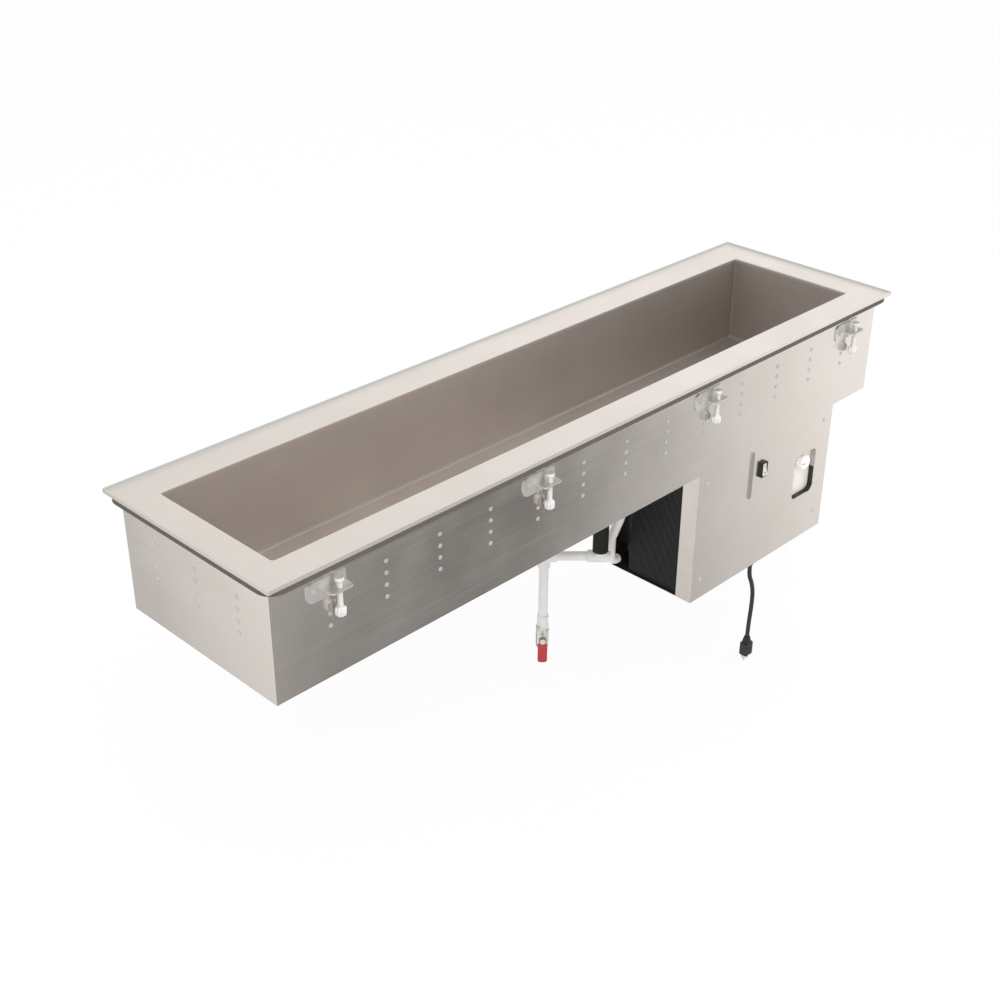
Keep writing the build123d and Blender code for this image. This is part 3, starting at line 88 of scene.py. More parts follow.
# %% [markdown]
# ## Camera
# The photograph looks down on the well's front left corner. A camera can be placed by eye, but here its
# focal length and place come from the long edges of the rim, the tub and the casing, whose real sizes are
# known, so that every edge falls where the photograph has it. The small roll is part of that fit.

# %% Camera
SENSOR_WIDTH = 36.0
FOCAL_LENGTH = 54.225
CAMERA_PLACE = (-2.00896, -1.83637, 1.27438)
CAMERA_HEADING = math.radians(-45.4941)
CAMERA_DIP = math.radians(29.4658)
CAMERA_ROLL = math.radians(0.3282)

scene = bpy.context.scene
lens = bpy.data.cameras.new("photo_camera")
lens.sensor_width = SENSOR_WIDTH
lens.lens = FOCAL_LENGTH
camera = bpy.data.objects.new("photo_camera", lens)
heading = Matrix.Rotation(CAMERA_HEADING, 4, "Z")
dip = Matrix.Rotation(math.pi / 2 - CAMERA_DIP, 4, "X")
roll = Matrix.Rotation(CAMERA_ROLL, 4, "Z")
camera.matrix_world = Matrix.Translation(CAMERA_PLACE) @ heading @ dip @ roll
scene.collection.objects.link(camera)
scene.camera = camera
scene.view_settings.view_transform = "Standard"
print("camera at", [round(v, 3) for v in camera.matrix_world.translation])

# %% [markdown]
# ## Colours and nodes
# Blender's sockets hold linear light, while a colour picked from a screen is sRGB, so one function turns
# a hex colour into linear. Another adds a node: its options, then its inputs, each a value or a link.

# %% Helpers for materials
def linear(hex_colour):
    """An sRGB hex colour as linear RGBA."""
    channels = [int(hex_colour[i:i + 2], 16) / 255 for i in (1, 3, 5)]
    return tuple(c / 12.92 if c <= 0.04045 else ((c + 0.055) / 1.055) ** 2.4 for c in channels) + (1.0,)


def add(tree, kind, options=None, inputs=None):
    """Adds a node. Options are its attributes. Inputs are sockets by name or number, each with a value
    or a link."""
    node = tree.nodes.new("ShaderNode" + kind)
    for name, value in (options or {}).items():
        setattr(node, name, value)
    for name, value in (inputs or {}).items():
        if isinstance(value, bpy.types.NodeSocket):
            tree.links.new(value, node.inputs[name])
        else:
            node.inputs[name].default_value = value
    return node


def new_finish(name):
    """An empty material: its tree and the surface's own Object coordinates."""
    material = bpy.data.materials.new(name)
    material.use_nodes = True
    material.node_tree.nodes.clear()
    coords = add(material.node_tree, "TexCoord").outputs["Object"]
    return material, material.node_tree, coords


def close_finish(tree, shader):
    """Ends a material's tree with its output."""
    add(tree, "OutputMaterial", inputs={"Surface": shader.outputs[0]})


print("mid grey", [round(c, 3) for c in linear("#808080")[:3]])

# %% [markdown]
# ## Brushed stainless sheet
# The casing is sheet steel with a satin finish, drawn along the sheet by an abrasive belt. The belt leaves
# fine parallel scratches, so the sheet mirrors its surroundings softly, with faint streaks. An image
# texture would repeat over so long a sheet. Noise that is stretched along the grain doesn't, and it can
# drive the tone, the roughness and the bump together. Real scratches are under 0.1 mm apart, too fine to
# show from two metres, so they are drawn a few millimetres wide. The rib pressed out of the box's front
# is painted darker than the sheet round it, a painted shade line, so its tone follows how far it stands out.

# %% The tone of satin steel
GRAIN_LENGTH = 320 * MM
GRAIN_WIDTH = 2.4 * MM
CLOUD_SIZE = 160 * MM
SCRATCH_SHARE = 0.5
NOISE_LOW = 0.45
NOISE_HIGH = 1.05
ALONG_X = 0
ALONG_Y = 1


def satin_tone(tree, coords, light, dark, grain):
    """The colour of satin steel whose scratches run along one axis, with its scratches and its mix."""
    stretch = [1 / GRAIN_WIDTH] * 3
    stretch[grain] = 1 / GRAIN_LENGTH
    along = add(tree, "Mapping", inputs={"Vector": coords, "Scale": stretch})
    scratches = add(tree, "TexNoise", inputs={"Vector": along.outputs[0], "Scale": 1.0, "Detail": 3.0})
    clouds = add(tree, "TexNoise", inputs={"Vector": coords, "Scale": 1 / CLOUD_SIZE, "Detail": 2.0})
    both = add(tree, "Math", {"operation": "MULTIPLY_ADD"},
               {0: scratches.outputs["Fac"], 1: SCRATCH_SHARE, 2: clouds.outputs["Fac"]})
    share = add(tree, "MapRange", inputs={"Value": both.outputs[0], "From Min": NOISE_LOW,
                                          "From Max": NOISE_HIGH})
    tone = add(tree, "Mix", {"data_type": "RGBA"},
               {0: share.outputs[0], 6: linear(dark), 7: linear(light)})
    return tone.outputs[2], scratches.outputs["Fac"], share.outputs[0]


print("scratches are", round(GRAIN_LENGTH / GRAIN_WIDTH), "times as long as wide")

# %% Satin steel sheets
SATIN_ROUGHNESS = 0.24
ROUGHNESS_SPREAD = 0.03
SCRATCH_BUMP = 0.05
SCRATCH_DEPTH = 0.2 * MM
RIB_HEIGHT = 3.0 * MM
RIB_FOOT = 0.3 * MM
RIB_SHOULDER = 1.5 * MM
# Painted shade on the rib: the tone darkens where the sheet stands out of the front.
RIB_SHADE_TONE = "#A9A49F"

panel_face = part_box("front_panel")[0].y + RIB_HEIGHT


def satin_sheet(name, light, dark, grain, rib=False):
    """Satin steel with its grain along one axis. A rib that stands out of the front gets a painted shade."""
    material, tree, coords = new_finish(name)
    tone, scratches, share = satin_tone(tree, coords, light, dark, grain)
    if rib:
        depth = add(tree, "SeparateXYZ", inputs={0: coords}).outputs["Y"]
        rib_shade = add(tree, "MapRange", inputs={"Value": depth, "From Min": panel_face - RIB_FOOT,
                                              "From Max": panel_face - RIB_SHOULDER})
        tone = add(tree, "Mix", {"data_type": "RGBA"},
                   {0: rib_shade.outputs[0], 6: tone, 7: linear(RIB_SHADE_TONE)}).outputs[2]
    rough = add(tree, "MapRange", inputs={"Value": share, "To Min": SATIN_ROUGHNESS - ROUGHNESS_SPREAD,
                                          "To Max": SATIN_ROUGHNESS + ROUGHNESS_SPREAD})
    relief = add(tree, "Bump", inputs={"Height": scratches, "Strength": SCRATCH_BUMP,
                                       "Distance": SCRATCH_DEPTH})
    close_finish(tree, add(tree, "BsdfPrincipled", inputs={
        "Base Color": tone, "Metallic": 1.0, "Roughness": rough.outputs[0], "Normal": relief.outputs[0]}))
    return material


# Satin stainless, brushed along the well: a warm, soft mirror with faint level streaks.
side_steel = satin_sheet("satin_stainless_sides", "#E8E1DA", "#DAD3CB", ALONG_X)
front_steel = satin_sheet("satin_stainless_front", "#E8E1DA", "#DAD3CB", ALONG_X, rib=True)
# The ends are brushed across the well, and their tone is painted a shade darker, for the dimmer light they
# mirror.
end_steel = satin_sheet("satin_stainless_ends", "#E2DBD4", "#D4CDC5", ALONG_Y)
print("satin sheets", [m.name for m in (side_steel, front_steel, end_steel)])

# %% [markdown]
# ## The well's liner
# Rim and tub are one sheet, but they don't look alike. The rim stays pale whatever it reflects, so it is
# only partly metallic. Painted shade darkens it at the near, left end, and its raised far edges are painted
# grey as shade. The tub is rougher and fully metallic, and its tones are painted a little darker than the
# rim's as shade inside the well. More painted shade darkens it towards the right end and in the tight bends
# round its floor and in its corners, where it hides their glint. The liner is one CAD mesh, which stays
# uncut, so one material reads the place on it. Each change is a share from 0 to 1, and it mixes one tone
# into the next.

# %% Liner: mouth, right end shade and near end shade
MOUTH_TOP_DROP = 6.0 * MM
MOUTH_FOOT_DROP = 15.0 * MM
RIGHT_SHADE_FROM = -60 * MM
RIGHT_SHADE_TO = 560 * MM
RIGHT_SHADE_SHARE = 0.31
NEAR_FROM = -700 * MM
NEAR_TO = 250 * MM
NEAR_SHADE_SHARE = 0.62

low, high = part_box("well_liner")
liner_steel, tree, coords = new_finish("satin_stainless_liner")
place = add(tree, "SeparateXYZ", inputs={0: coords})
inside = add(tree, "MapRange", inputs={"Value": place.outputs["Z"], "From Min": high.z - MOUTH_TOP_DROP,
                                       "From Max": high.z - MOUTH_FOOT_DROP})
# Painted shade: the tub darkens towards its right end.
right_shade = add(tree, "MapRange", inputs={"Value": place.outputs["X"], "From Min": RIGHT_SHADE_FROM,
                                     "From Max": RIGHT_SHADE_TO, "To Max": RIGHT_SHADE_SHARE})
# Painted shade: the rim darkens towards its near, left end.
near = add(tree, "MapRange", inputs={"Value": place.outputs["X"], "From Min": NEAR_TO,
                                     "From Max": NEAR_FROM, "To Max": NEAR_SHADE_SHARE})
print("the tub's tone starts at", round((high.z - MOUTH_TOP_DROP) / MM, 1), "mm")

# %% Liner: bends and raised edges
COVE_RISE = 3.4 * MM
COVE_HALF = 1.6 * MM
TUB_HALF_LENGTH = 813.0 * MM
TUB_HALF_WIDTH = 155.5 * MM
TUB_CORNER = 6.0 * MM
CORNER_EDGE = 2.0 * MM
CORNER_SHADE_SHARE = 0.7
LIP_HEIGHT = 4.4 * MM
LIP_EDGE = 1.0 * MM
BACK_LIP_WIDTH = 8.2 * MM
RIGHT_LIP_WIDTH = 8.8 * MM

# Painted shade on the bend round the floor and in the tub's corners, which hides their glint.
above_cove = add(tree, "Math", {"operation": "SUBTRACT"}, {0: place.outputs["Z"], 1: low.z + COVE_RISE})
off_cove = add(tree, "Math", {"operation": "ABSOLUTE"}, {0: above_cove.outputs[0]})
cove = add(tree, "MapRange", inputs={"Value": off_cove.outputs[0], "From Min": COVE_HALF, "From Max": 0.0})
past = []
for axis, corner_start in (("X", TUB_HALF_LENGTH - TUB_CORNER), ("Y", TUB_HALF_WIDTH - TUB_CORNER)):
    out = add(tree, "Math", {"operation": "ABSOLUTE"}, {0: place.outputs[axis]})
    past.append(add(tree, "MapRange", inputs={"Value": out.outputs[0], "From Min": corner_start,
                                              "From Max": corner_start + CORNER_EDGE}).outputs[0])
in_corner = add(tree, "Math", {"operation": "MULTIPLY"}, {0: past[0], 1: past[1]})
corner = add(tree, "Math", {"operation": "MULTIPLY"}, {0: in_corner.outputs[0], 1: CORNER_SHADE_SHARE})
bend_shade = add(tree, "Math", {"operation": "MAXIMUM"}, {0: cove.outputs[0], 1: corner.outputs[0]})

# Painted shade: the rim's raised back and right edges turn grey.
lip_foot = high.z - LIP_HEIGHT
raised = add(tree, "MapRange", inputs={"Value": place.outputs["Z"], "From Min": lip_foot,
                                       "From Max": lip_foot + LIP_EDGE})
at_back = add(tree, "Math", {"operation": "GREATER_THAN"},
              {0: place.outputs["Y"], 1: high.y - BACK_LIP_WIDTH})
at_right = add(tree, "Math", {"operation": "GREATER_THAN"},
               {0: place.outputs["X"], 1: high.x - RIGHT_LIP_WIDTH})
at_edge = add(tree, "Math", {"operation": "MAXIMUM"}, {0: at_back.outputs[0], 1: at_right.outputs[0]})
lip_shade = add(tree, "Math", {"operation": "MULTIPLY"}, {0: raised.outputs[0], 1: at_edge.outputs[0]})
print("the raised edges start at", round(lip_foot / MM, 1), "mm")

# %% Liner: tones and shader
# The tub's tones sit a little darker than the rim's, as painted shade inside the well.
RIM_TONES = ("#E3DCD5", "#D8D0C9")
NEAR_SHADE_TONE = "#C8C0B9"
LIP_SHADE_TONE = "#B9B9B5"
TUB_TONES = ("#DBD3CD", "#D0C8C2")
RIGHT_SHADE_TONE = "#8E8680"
BEND_SHADE_TONE = "#A59D97"
RIM_ROUGHNESS = 0.3
TUB_ROUGHNESS = 0.58
RIM_METALLIC = 0.55
TUB_METALLIC = 1.0

rim_tone, scratches, _ = satin_tone(tree, coords, *RIM_TONES, ALONG_X)
rim_tone = add(tree, "Mix", {"data_type": "RGBA"},
               {0: near.outputs[0], 6: rim_tone, 7: linear(NEAR_SHADE_TONE)}).outputs[2]
tub_tone = satin_tone(tree, coords, *TUB_TONES, ALONG_X)[0]
# The tub's painted shades: darker towards its right end and in the bends.
for share, shade_tone in ((right_shade, RIGHT_SHADE_TONE), (bend_shade, BEND_SHADE_TONE)):
    tub_tone = add(tree, "Mix", {"data_type": "RGBA"},
                   {0: share.outputs[0], 6: tub_tone, 7: linear(shade_tone)}).outputs[2]
tone = add(tree, "Mix", {"data_type": "RGBA"}, {0: inside.outputs[0], 6: rim_tone, 7: tub_tone}).outputs[2]
tone = add(tree, "Mix", {"data_type": "RGBA"},
           {0: lip_shade.outputs[0], 6: tone, 7: linear(LIP_SHADE_TONE)}).outputs[2]
rough = add(tree, "MapRange", inputs={"Value": inside.outputs[0], "To Min": RIM_ROUGHNESS,
                                      "To Max": TUB_ROUGHNESS})
metal = add(tree, "MapRange", inputs={"Value": inside.outputs[0], "To Min": RIM_METALLIC,
                                      "To Max": TUB_METALLIC})
relief = add(tree, "Bump", inputs={"Height": scratches, "Strength": SCRATCH_BUMP, "Distance": SCRATCH_DEPTH})
close_finish(tree, add(tree, "BsdfPrincipled", inputs={
    "Base Color": tone, "Metallic": metal.outputs[0], "Roughness": rough.outputs[0],
    "Normal": relief.outputs[0]}))
print("liner finish has", len(tree.nodes), "nodes")

# %% [markdown]
# ## Plain finishes
# The other pieces are moulded plastics, rubber, foam, paint and plating. Each of them has a colour that
# wanders a little and a surface with a fine texture, so one function with a grain size in millimetres
# makes them, and each finish is named for what it is. A plated film scatters some light before the metal
# mirrors the rest, so the plated pieces are less than fully metallic, and the screws, whose film is the
# palest, are the least.

# %% How a plain finish is made
WANDER_GRAINS = 12.5
PORE_LOW = 0.3
PORE_HIGH = 0.7
PORE_ROUGHNESS = 0.05
PORE_BUMP = 0.5


def grained(name, light, dark, grain, roughness, depth, metallic=0.0, ior=1.5, coat=0.0):
    """A finish whose colour wanders between two tones, with a grain of that size and depth in metres."""
    material, tree, coords = new_finish(name)
    wander = add(tree, "TexNoise", inputs={"Vector": coords, "Scale": 1 / (WANDER_GRAINS * grain),
                                           "Detail": 4.0})
    pores = add(tree, "TexNoise", inputs={"Vector": coords, "Scale": 1 / grain, "Detail": 2.0})
    tone = add(tree, "Mix", {"data_type": "RGBA"},
               {0: wander.outputs["Fac"], 6: linear(dark), 7: linear(light)})
    rough = add(tree, "MapRange", inputs={
        "Value": pores.outputs["Fac"], "From Min": PORE_LOW, "From Max": PORE_HIGH,
        "To Min": roughness - PORE_ROUGHNESS, "To Max": roughness + PORE_ROUGHNESS})
    relief = add(tree, "Bump", inputs={"Height": pores.outputs["Fac"], "Strength": PORE_BUMP,
                                       "Distance": depth})
    close_finish(tree, add(tree, "BsdfPrincipled", inputs={
        "Base Color": tone.outputs[2], "Metallic": metallic, "Roughness": rough.outputs[0], "IOR": ior,
        "Coat Weight": coat, "Normal": relief.outputs[0]}))
    return material


print("a tone wanders over", WANDER_GRAINS, "grains")

# %% Foams and rubber
# Closed-cell foam strip: dark and matt, with fine bubbles in its skin. Its dark tone is partly painted
# shade, standing in for the shadow under the rim.
gasket_foam = grained("closed_cell_gasket_foam", "#68615B", "#56504B", 0.8 * MM, 0.85, 0.2 * MM)
# Rigid foam, poured behind the sheets: cream coloured, coarse and matt.
rigid_foam = grained("rigid_insulation_foam", "#EFE3BE", "#DDCDA0", 1.5 * MM, 0.9, 0.3 * MM)
# Foam sleeves on the cold pipes: soft and matt, in white and in black.
white_foam = grained("white_foam_sleeve", "#F4F2EE", "#E4E1DC", 1.2 * MM, 0.8, 0.2 * MM)
black_foam = grained("black_foam_sleeve", "#1C1A19", "#121110", 1.2 * MM, 0.85, 0.2 * MM)
# Extruded rubber: black, with a soft sheen.
black_rubber = grained("black_rubber_jacket", "#2A2B2B", "#1B1C1C", 0.9 * MM, 0.48, 0.06 * MM)
# Dipped vinyl: red and full, with a wet gloss.
red_vinyl = grained("red_vinyl_dip", "#C23A38", "#A22826", 1.2 * MM, 0.34, 0.08 * MM, coat=0.2)
print(len(bpy.data.materials), "materials")

# %% Metals, plating and paint
# Drawn copper: a warm metal with brown patches of tarnish.
copper = grained("drawn_copper_tube", "#C98B66", "#8F5A40", 2.0 * MM, 0.32, 0.05 * MM, metallic=1.0)
# Zinc plated brackets: a pale, slightly clouded mirror.
zinc = grained("zinc_plated_steel", "#EDEBE7", "#DAD8D3", 1.2 * MM, 0.36, 0.04 * MM, metallic=0.9)
# Bright zinc on the screws: smoother, and nearly white.
bright_zinc = grained("bright_zinc_plating", "#F6F5F2", "#E6E4E0", 1.5 * MM, 0.28, 0.03 * MM, metallic=0.4)
# Nickel plated brass: pale, with clear highlights.
nickel = grained("nickel_plated_brass", "#F0EEEA", "#DDDAD5", 1.5 * MM, 0.3, 0.03 * MM, metallic=0.7)
# Handled lever steel: dull and brownish.
strap_steel = grained("dull_lever_steel", "#A39A8C", "#857B6C", 1.2 * MM, 0.4, 0.04 * MM, metallic=0.8)
# Sprayed paint: an even film with a soft sheen. Where it lines the tray and the fan shroud, its black is
# partly painted shade for the dark inside of the box.
black_paint = grained("black_enamel_paint", "#2A2B2B", "#1C1D1D", 1.5 * MM, 0.5, 0.05 * MM)
motor_paint = grained("grey_motor_paint", "#6A6C6E", "#505254", 1.5 * MM, 0.45, 0.05 * MM)
# Painted dial plate: pale and smooth.
dial_plate = grained("pale_dial_plate", "#F2ECE6", "#E8E1DA", 1.0 * MM, 0.4, 0.03 * MM)
print(len(bpy.data.materials), "materials")

# %% Plastics
# Moulded nylon: dull from the mould's fine texture, in a pale tone and in black.
pale_plastic = grained("pale_moulded_nylon", "#DEDAD4", "#CFCAC3", 0.8 * MM, 0.5, 0.04 * MM)
black_plastic = grained("black_moulded_nylon", "#262626", "#181818", 0.7 * MM, 0.42, 0.05 * MM)
# Nylon with a thin film of metal: it mirrors nearly as the sheet round it does.
plug_cap = grained("metallised_nylon_cap", "#E4E1DD", "#D6D2CD", 0.8 * MM, 0.5, 0.04 * MM, metallic=0.93)
# PVC pipe: white and smooth, with a soft gloss.
white_plastic = grained("white_pvc", "#E8E7E4", "#DCDAD6", 1.0 * MM, 0.36, 0.04 * MM)
# The knob's plastic: the cleanest white on the object.
knob_plastic = grained("white_moulded_knob", "#FFFFFD", "#F6F5F3", 1.0 * MM, 0.36, 0.04 * MM)
print(len(bpy.data.materials), "materials")

# %% [markdown]
# ## Control pocket with painted light
# The pocket's moulded wall is black below the knob. Above that it is painted pale grey, as painted light on
# the upper wall beside the knob, so its tone changes with height. Two materials would need a cut in the CAD
# mesh, which stays as it is, so one material reads the height instead.

# %% Pocket finish
TONE_CHANGE = 60.0 * MM
TONE_BLUR = 2.0 * MM
POCKET_BLACK = "#1E1E1E"
POCKET_LIT_GREY = "#AFA9A4"
POCKET_ROUGHNESS = 0.42

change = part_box("control_pocket")[1].z - TONE_CHANGE
pocket_nylon, tree, coords = new_finish("black_nylon_with_painted_light")
height = add(tree, "SeparateXYZ", inputs={0: coords}).outputs["Z"]
# Painted light: the pocket's wall turns pale grey above this height.
lit_upper = add(tree, "MapRange", inputs={"Value": height, "From Min": change - TONE_BLUR,
                                      "From Max": change + TONE_BLUR})
tone = add(tree, "Mix", {"data_type": "RGBA"},
           {0: lit_upper.outputs[0], 6: linear(POCKET_BLACK), 7: linear(POCKET_LIT_GREY)})
close_finish(tree, add(tree, "BsdfPrincipled", inputs={"Base Color": tone.outputs[2],
                                                       "Roughness": POCKET_ROUGHNESS}))
print("the pocket's tone changes at", round(change / MM, 1), "mm")

# %% [markdown]
# ## Every CAD node gets its finish
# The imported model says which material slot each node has. A table from slot to finish dresses them all,
# and the few nodes that need another one, such as the end panels with their own grain, come after it.

# %% Dress the CAD nodes
FINISHES = {
    "stainless": liner_steel, "galvanised": side_steel, "gasket_foam": gasket_foam, "insulation": rigid_foam,
    "copper": copper, "black_paint": black_paint, "zinc": zinc, "bright_zinc": bright_zinc,
    "pale_plastic": pale_plastic, "white_plastic": white_plastic, "black_plastic": black_plastic,
    "black_rubber": black_rubber, "motor_paint": motor_paint, "nickel": nickel, "red_vinyl": red_vinyl,
    "white_foam": white_foam,
}
SPECIAL = {
    "left_end_panel": end_steel, "right_end_panel": end_steel, "front_panel": front_steel,
    "vent_plugs": plug_cap, "thermostat_body": dial_plate, "drain_sleeve": black_foam,
    "control_pocket": pocket_nylon,
}


def dress(piece, material):
    """Gives a piece one finish all over."""
    piece.data.materials.clear()
    piece.data.materials.append(material)


for subpart in frame["record"]["subparts"]:
    dress(nodes[subpart["node"]], FINISHES[subpart["material_slot"]])
for node, finish in SPECIAL.items():
    dress(nodes[node], finish)
print("dressed", len(nodes), "nodes,", len(SPECIAL), "of them with a finish of their own")

# %% [markdown]
# ## Turned and moulded pieces
# Screws come off a lathe, and knobs, switches and plugs out of a mould. Their CAD solids are plain, so finer
# pieces stand in for them here. One helper spins an outline round the Z axis, as a lathe does. Another makes
# a rounded block, as a mould does: a cube, stretched, with the edges that a test chooses bevelled. A third
# rounds the sharp edges that are left. The last one merges doubles, points all faces out and puts the mesh
# in its place, where it rides on the body of the node it replaces.

# %% Lathe and mould
LATHE_STEPS = 48
ROUND_SEGMENTS = 3
SHARP_ANGLE = math.radians(38)
SHORTEST_EDGE = 0.02 * MM


def turned(bm, outline, steps=LATHE_STEPS):
    """Spins (radius, height) points in millimetres round the Z axis, and returns the new vertices."""
    before = set(bm.verts)
    chain = [bm.verts.new((radius * MM, 0, height * MM)) for radius, height in outline]
    edges = [bm.edges.new(ends) for ends in zip(chain, chain[1:])]
    bmesh.ops.spin(bm, geom=chain + edges, cent=(0, 0, 0), axis=(0, 0, 1), angle=2 * math.pi,
                   steps=steps, use_merge=True)
    return [v for v in bm.verts if v not in before]


def moulded(bm, size, middle, rounding, segments=ROUND_SEGMENTS, which=lambda edge: True):
    """A block of that size in millimetres round its middle, with the chosen edges rounded."""
    block = bmesh.ops.create_cube(bm, size=1.0)["verts"]
    bmesh.ops.scale(bm, verts=block, vec=Vector(size) * MM)
    bmesh.ops.translate(bm, verts=block, vec=Vector(middle) * MM)
    edges = {edge for v in block for edge in v.link_edges if which(edge)}
    bmesh.ops.bevel(bm, geom=list(edges), affect="EDGES", offset=rounding * MM, segments=segments,
                    profile=0.5, material=-1)


def soften(bm, rounding):
    """Rounds the sharp edges that are left."""
    bmesh.ops.recalc_face_normals(bm, faces=bm.faces)
    sharp = [edge for edge in bm.edges if edge.calc_face_angle(0) > SHARP_ANGLE]
    bmesh.ops.bevel(bm, geom=sharp, affect="EDGES", offset=rounding * MM, segments=ROUND_SEGMENTS,
                    profile=0.5, material=-1)


def across(edge):
    """True for an edge that runs along Y."""
    return abs(edge.verts[0].co.y - edge.verts[1].co.y) > SHORTEST_EDGE


def upright(edge):
    """True for an edge that runs along Z."""
    return abs(edge.verts[0].co.z - edge.verts[1].co.z) > SHORTEST_EDGE


print("a lathe step turns", 360 / LATHE_STEPS, "degrees")

# %% Put a piece in its place
MERGE_DISTANCE = 0.002 * MM
TO_FRONT = Matrix.Rotation(math.pi / 2, 4, "X")


def keep_piece(bm, name, finish, body, node, place, turn=Matrix.Identity(4)):
    """Makes a piece of the mesh, put in its place, which rides on a body and stands for a CAD node."""
    bmesh.ops.remove_doubles(bm, verts=bm.verts, dist=MERGE_DISTANCE)
    bmesh.ops.recalc_face_normals(bm, faces=bm.faces)
    bmesh.ops.transform(bm, matrix=Matrix.Translation(place) @ turn, verts=bm.verts)
    mesh = bpy.data.meshes.new(name)
    bm.to_mesh(mesh)
    bm.free()
    mesh.shade_smooth()
    mesh.set_sharp_from_angle(angle=SHARP_ANGLE)
    piece = bpy.data.objects.new(name, mesh)
    scene.collection.objects.link(piece)
    dress(piece, finish)
    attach(piece, body)
    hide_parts(node)
    return piece


def middle_of(node):
    """The middle of a CAD node's box."""
    low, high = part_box(node)
    return (low + high) / 2


print("a mould's Z points to the front as", [round(v) for v in TO_FRONT @ Vector((0, 0, 1))])

# %% [markdown]
# ## Thumb screws of the hold-down clamps
# Each clamp has a zinc plated screw that presses its pad up under the counter. Its thread has a pitch of
# 1.5 mm. A thread could be a bump in the finish, but it shows in outline, so a closed triangular ridge is
# wound round the core: a spin whose every step also climbs. The grip is turned with six columns of vertices
# to each flute, and each column is then drawn in by its own share, most in the flute's middle.

# %% Thread
THREAD_RADIUS = 5.0
THREAD_DEPTH = 0.92
THREAD_PITCH = 1.5
THREAD_STEPS = 20
RIDGE_SHARE = 0.92


def thread_ridge(bm, low, high):
    """Winds a closed triangular ridge round the Z axis from one height to another."""
    root = THREAD_RADIUS - THREAD_DEPTH
    width = THREAD_PITCH * RIDGE_SHARE
    turns = math.floor((high - low - width) / THREAD_PITCH)
    corners = ((root, low), (THREAD_RADIUS, low + width / 2), (root, low + width))
    section = [bm.verts.new((radius * MM, 0, height * MM)) for radius, height in corners]
    edges = [bm.edges.new(ends) for ends in zip(section, section[1:] + section[:1])]
    bmesh.ops.spin(bm, geom=section + edges, cent=(0, 0, 0), axis=(0, 0, 1), angle=2 * math.pi * turns,
                   steps=turns * THREAD_STEPS, dvec=(0, 0, THREAD_PITCH / THREAD_STEPS * MM))
    bmesh.ops.holes_fill(bm, edges=[edge for edge in bm.edges if edge.is_boundary], sides=len(section))
    return turns


print("a thread step climbs", THREAD_PITCH / THREAD_STEPS, "mm")

# %% Flutes
COLUMNS_PER_FLUTE = 6
FLUTE_DRAW = (0.20, 0.12, 0.02, 0.0, 0.02, 0.12)


def flute_column(vertex, flutes):
    """Which of its flute's columns a turned vertex stands in."""
    column_angle = 2 * math.pi / (flutes * COLUMNS_PER_FLUTE)
    return round(math.atan2(vertex.co.y, vertex.co.x) / column_angle) % COLUMNS_PER_FLUTE


def press_flutes(bm, verts, flutes):
    """Draws in columns of a turned grip's vertices, once for each flute."""
    for column, draw in enumerate(FLUTE_DRAW):
        chosen = [v for v in verts if flute_column(v, flutes) == column]
        bmesh.ops.scale(bm, verts=chosen, vec=(1 - draw, 1 - draw, 1))


print("flutes are drawn in by up to", max(FLUTE_DRAW))

# %% Thumb screws
CORE_LAP = 0.1
TIP_RADIUS = 3.0
TIP_LENGTH = 4.0
TIP_EDGE = 0.5
GRIP_RADIUS = 10.0
GRIP_HEIGHT = 18.0
GRIP_LAP = 1.0
GRIP_FLUTES = 8
FLUTED_FROM = 8.0
GRIP_OUTLINE = [(0, GRIP_HEIGHT), (6.2, GRIP_HEIGHT), (6.6, 16.6), (8.8, 15.8), (9.8, 14.2),
                (GRIP_RADIUS, 12), (GRIP_RADIUS, 4.5), (9.6, 2.4), (8.4, 0.8), (6.5, 0), (0, 0)]


def thumb_screw(number):
    """One screw, with its Z axis on the node's and its grip at the bottom."""
    node = f"clamp_screw_{number}"
    low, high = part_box(node)
    length = (high.z - low.z) / MM
    core = THREAD_RADIUS - THREAD_DEPTH + CORE_LAP
    shoulder = length - TIP_LENGTH
    foot = GRIP_HEIGHT - GRIP_LAP
    bm = bmesh.new()
    turns = thread_ridge(bm, GRIP_HEIGHT, shoulder)
    turned(bm, [(0, length), (TIP_RADIUS - TIP_EDGE, length), (TIP_RADIUS, length - TIP_EDGE),
                (TIP_RADIUS, shoulder), (core, shoulder), (core, foot), (0, foot)])
    grip = turned(bm, GRIP_OUTLINE, steps=GRIP_FLUTES * COLUMNS_PER_FLUTE)
    press_flutes(bm, [v for v in grip if v.co.xy.length > FLUTED_FROM * MM], GRIP_FLUTES)
    place = middle_of(node)
    place.z = low.z
    keep_piece(bm, f"thumb_screw_{number}", bright_zinc, node, node, place)
    return turns


CLAMPS = [name for name in frame["bodies"] if name.startswith("clamp_screw_")]
turn_counts = {thumb_screw(number) for number in range(1, len(CLAMPS) + 1)}
print(len(CLAMPS), "thumb screws with", turn_counts, "turns of thread each")

# %% [markdown]
# ## Thermostat knob
# The knob in the control pocket is white moulded plastic with a skirt, a fluted grip and a grey line that
# points at the setting. It is turned like the screw's grip, with its shaft, and three columns in every six
# are drawn in for its flutes. The line is a slim moulded bar that rides on it.

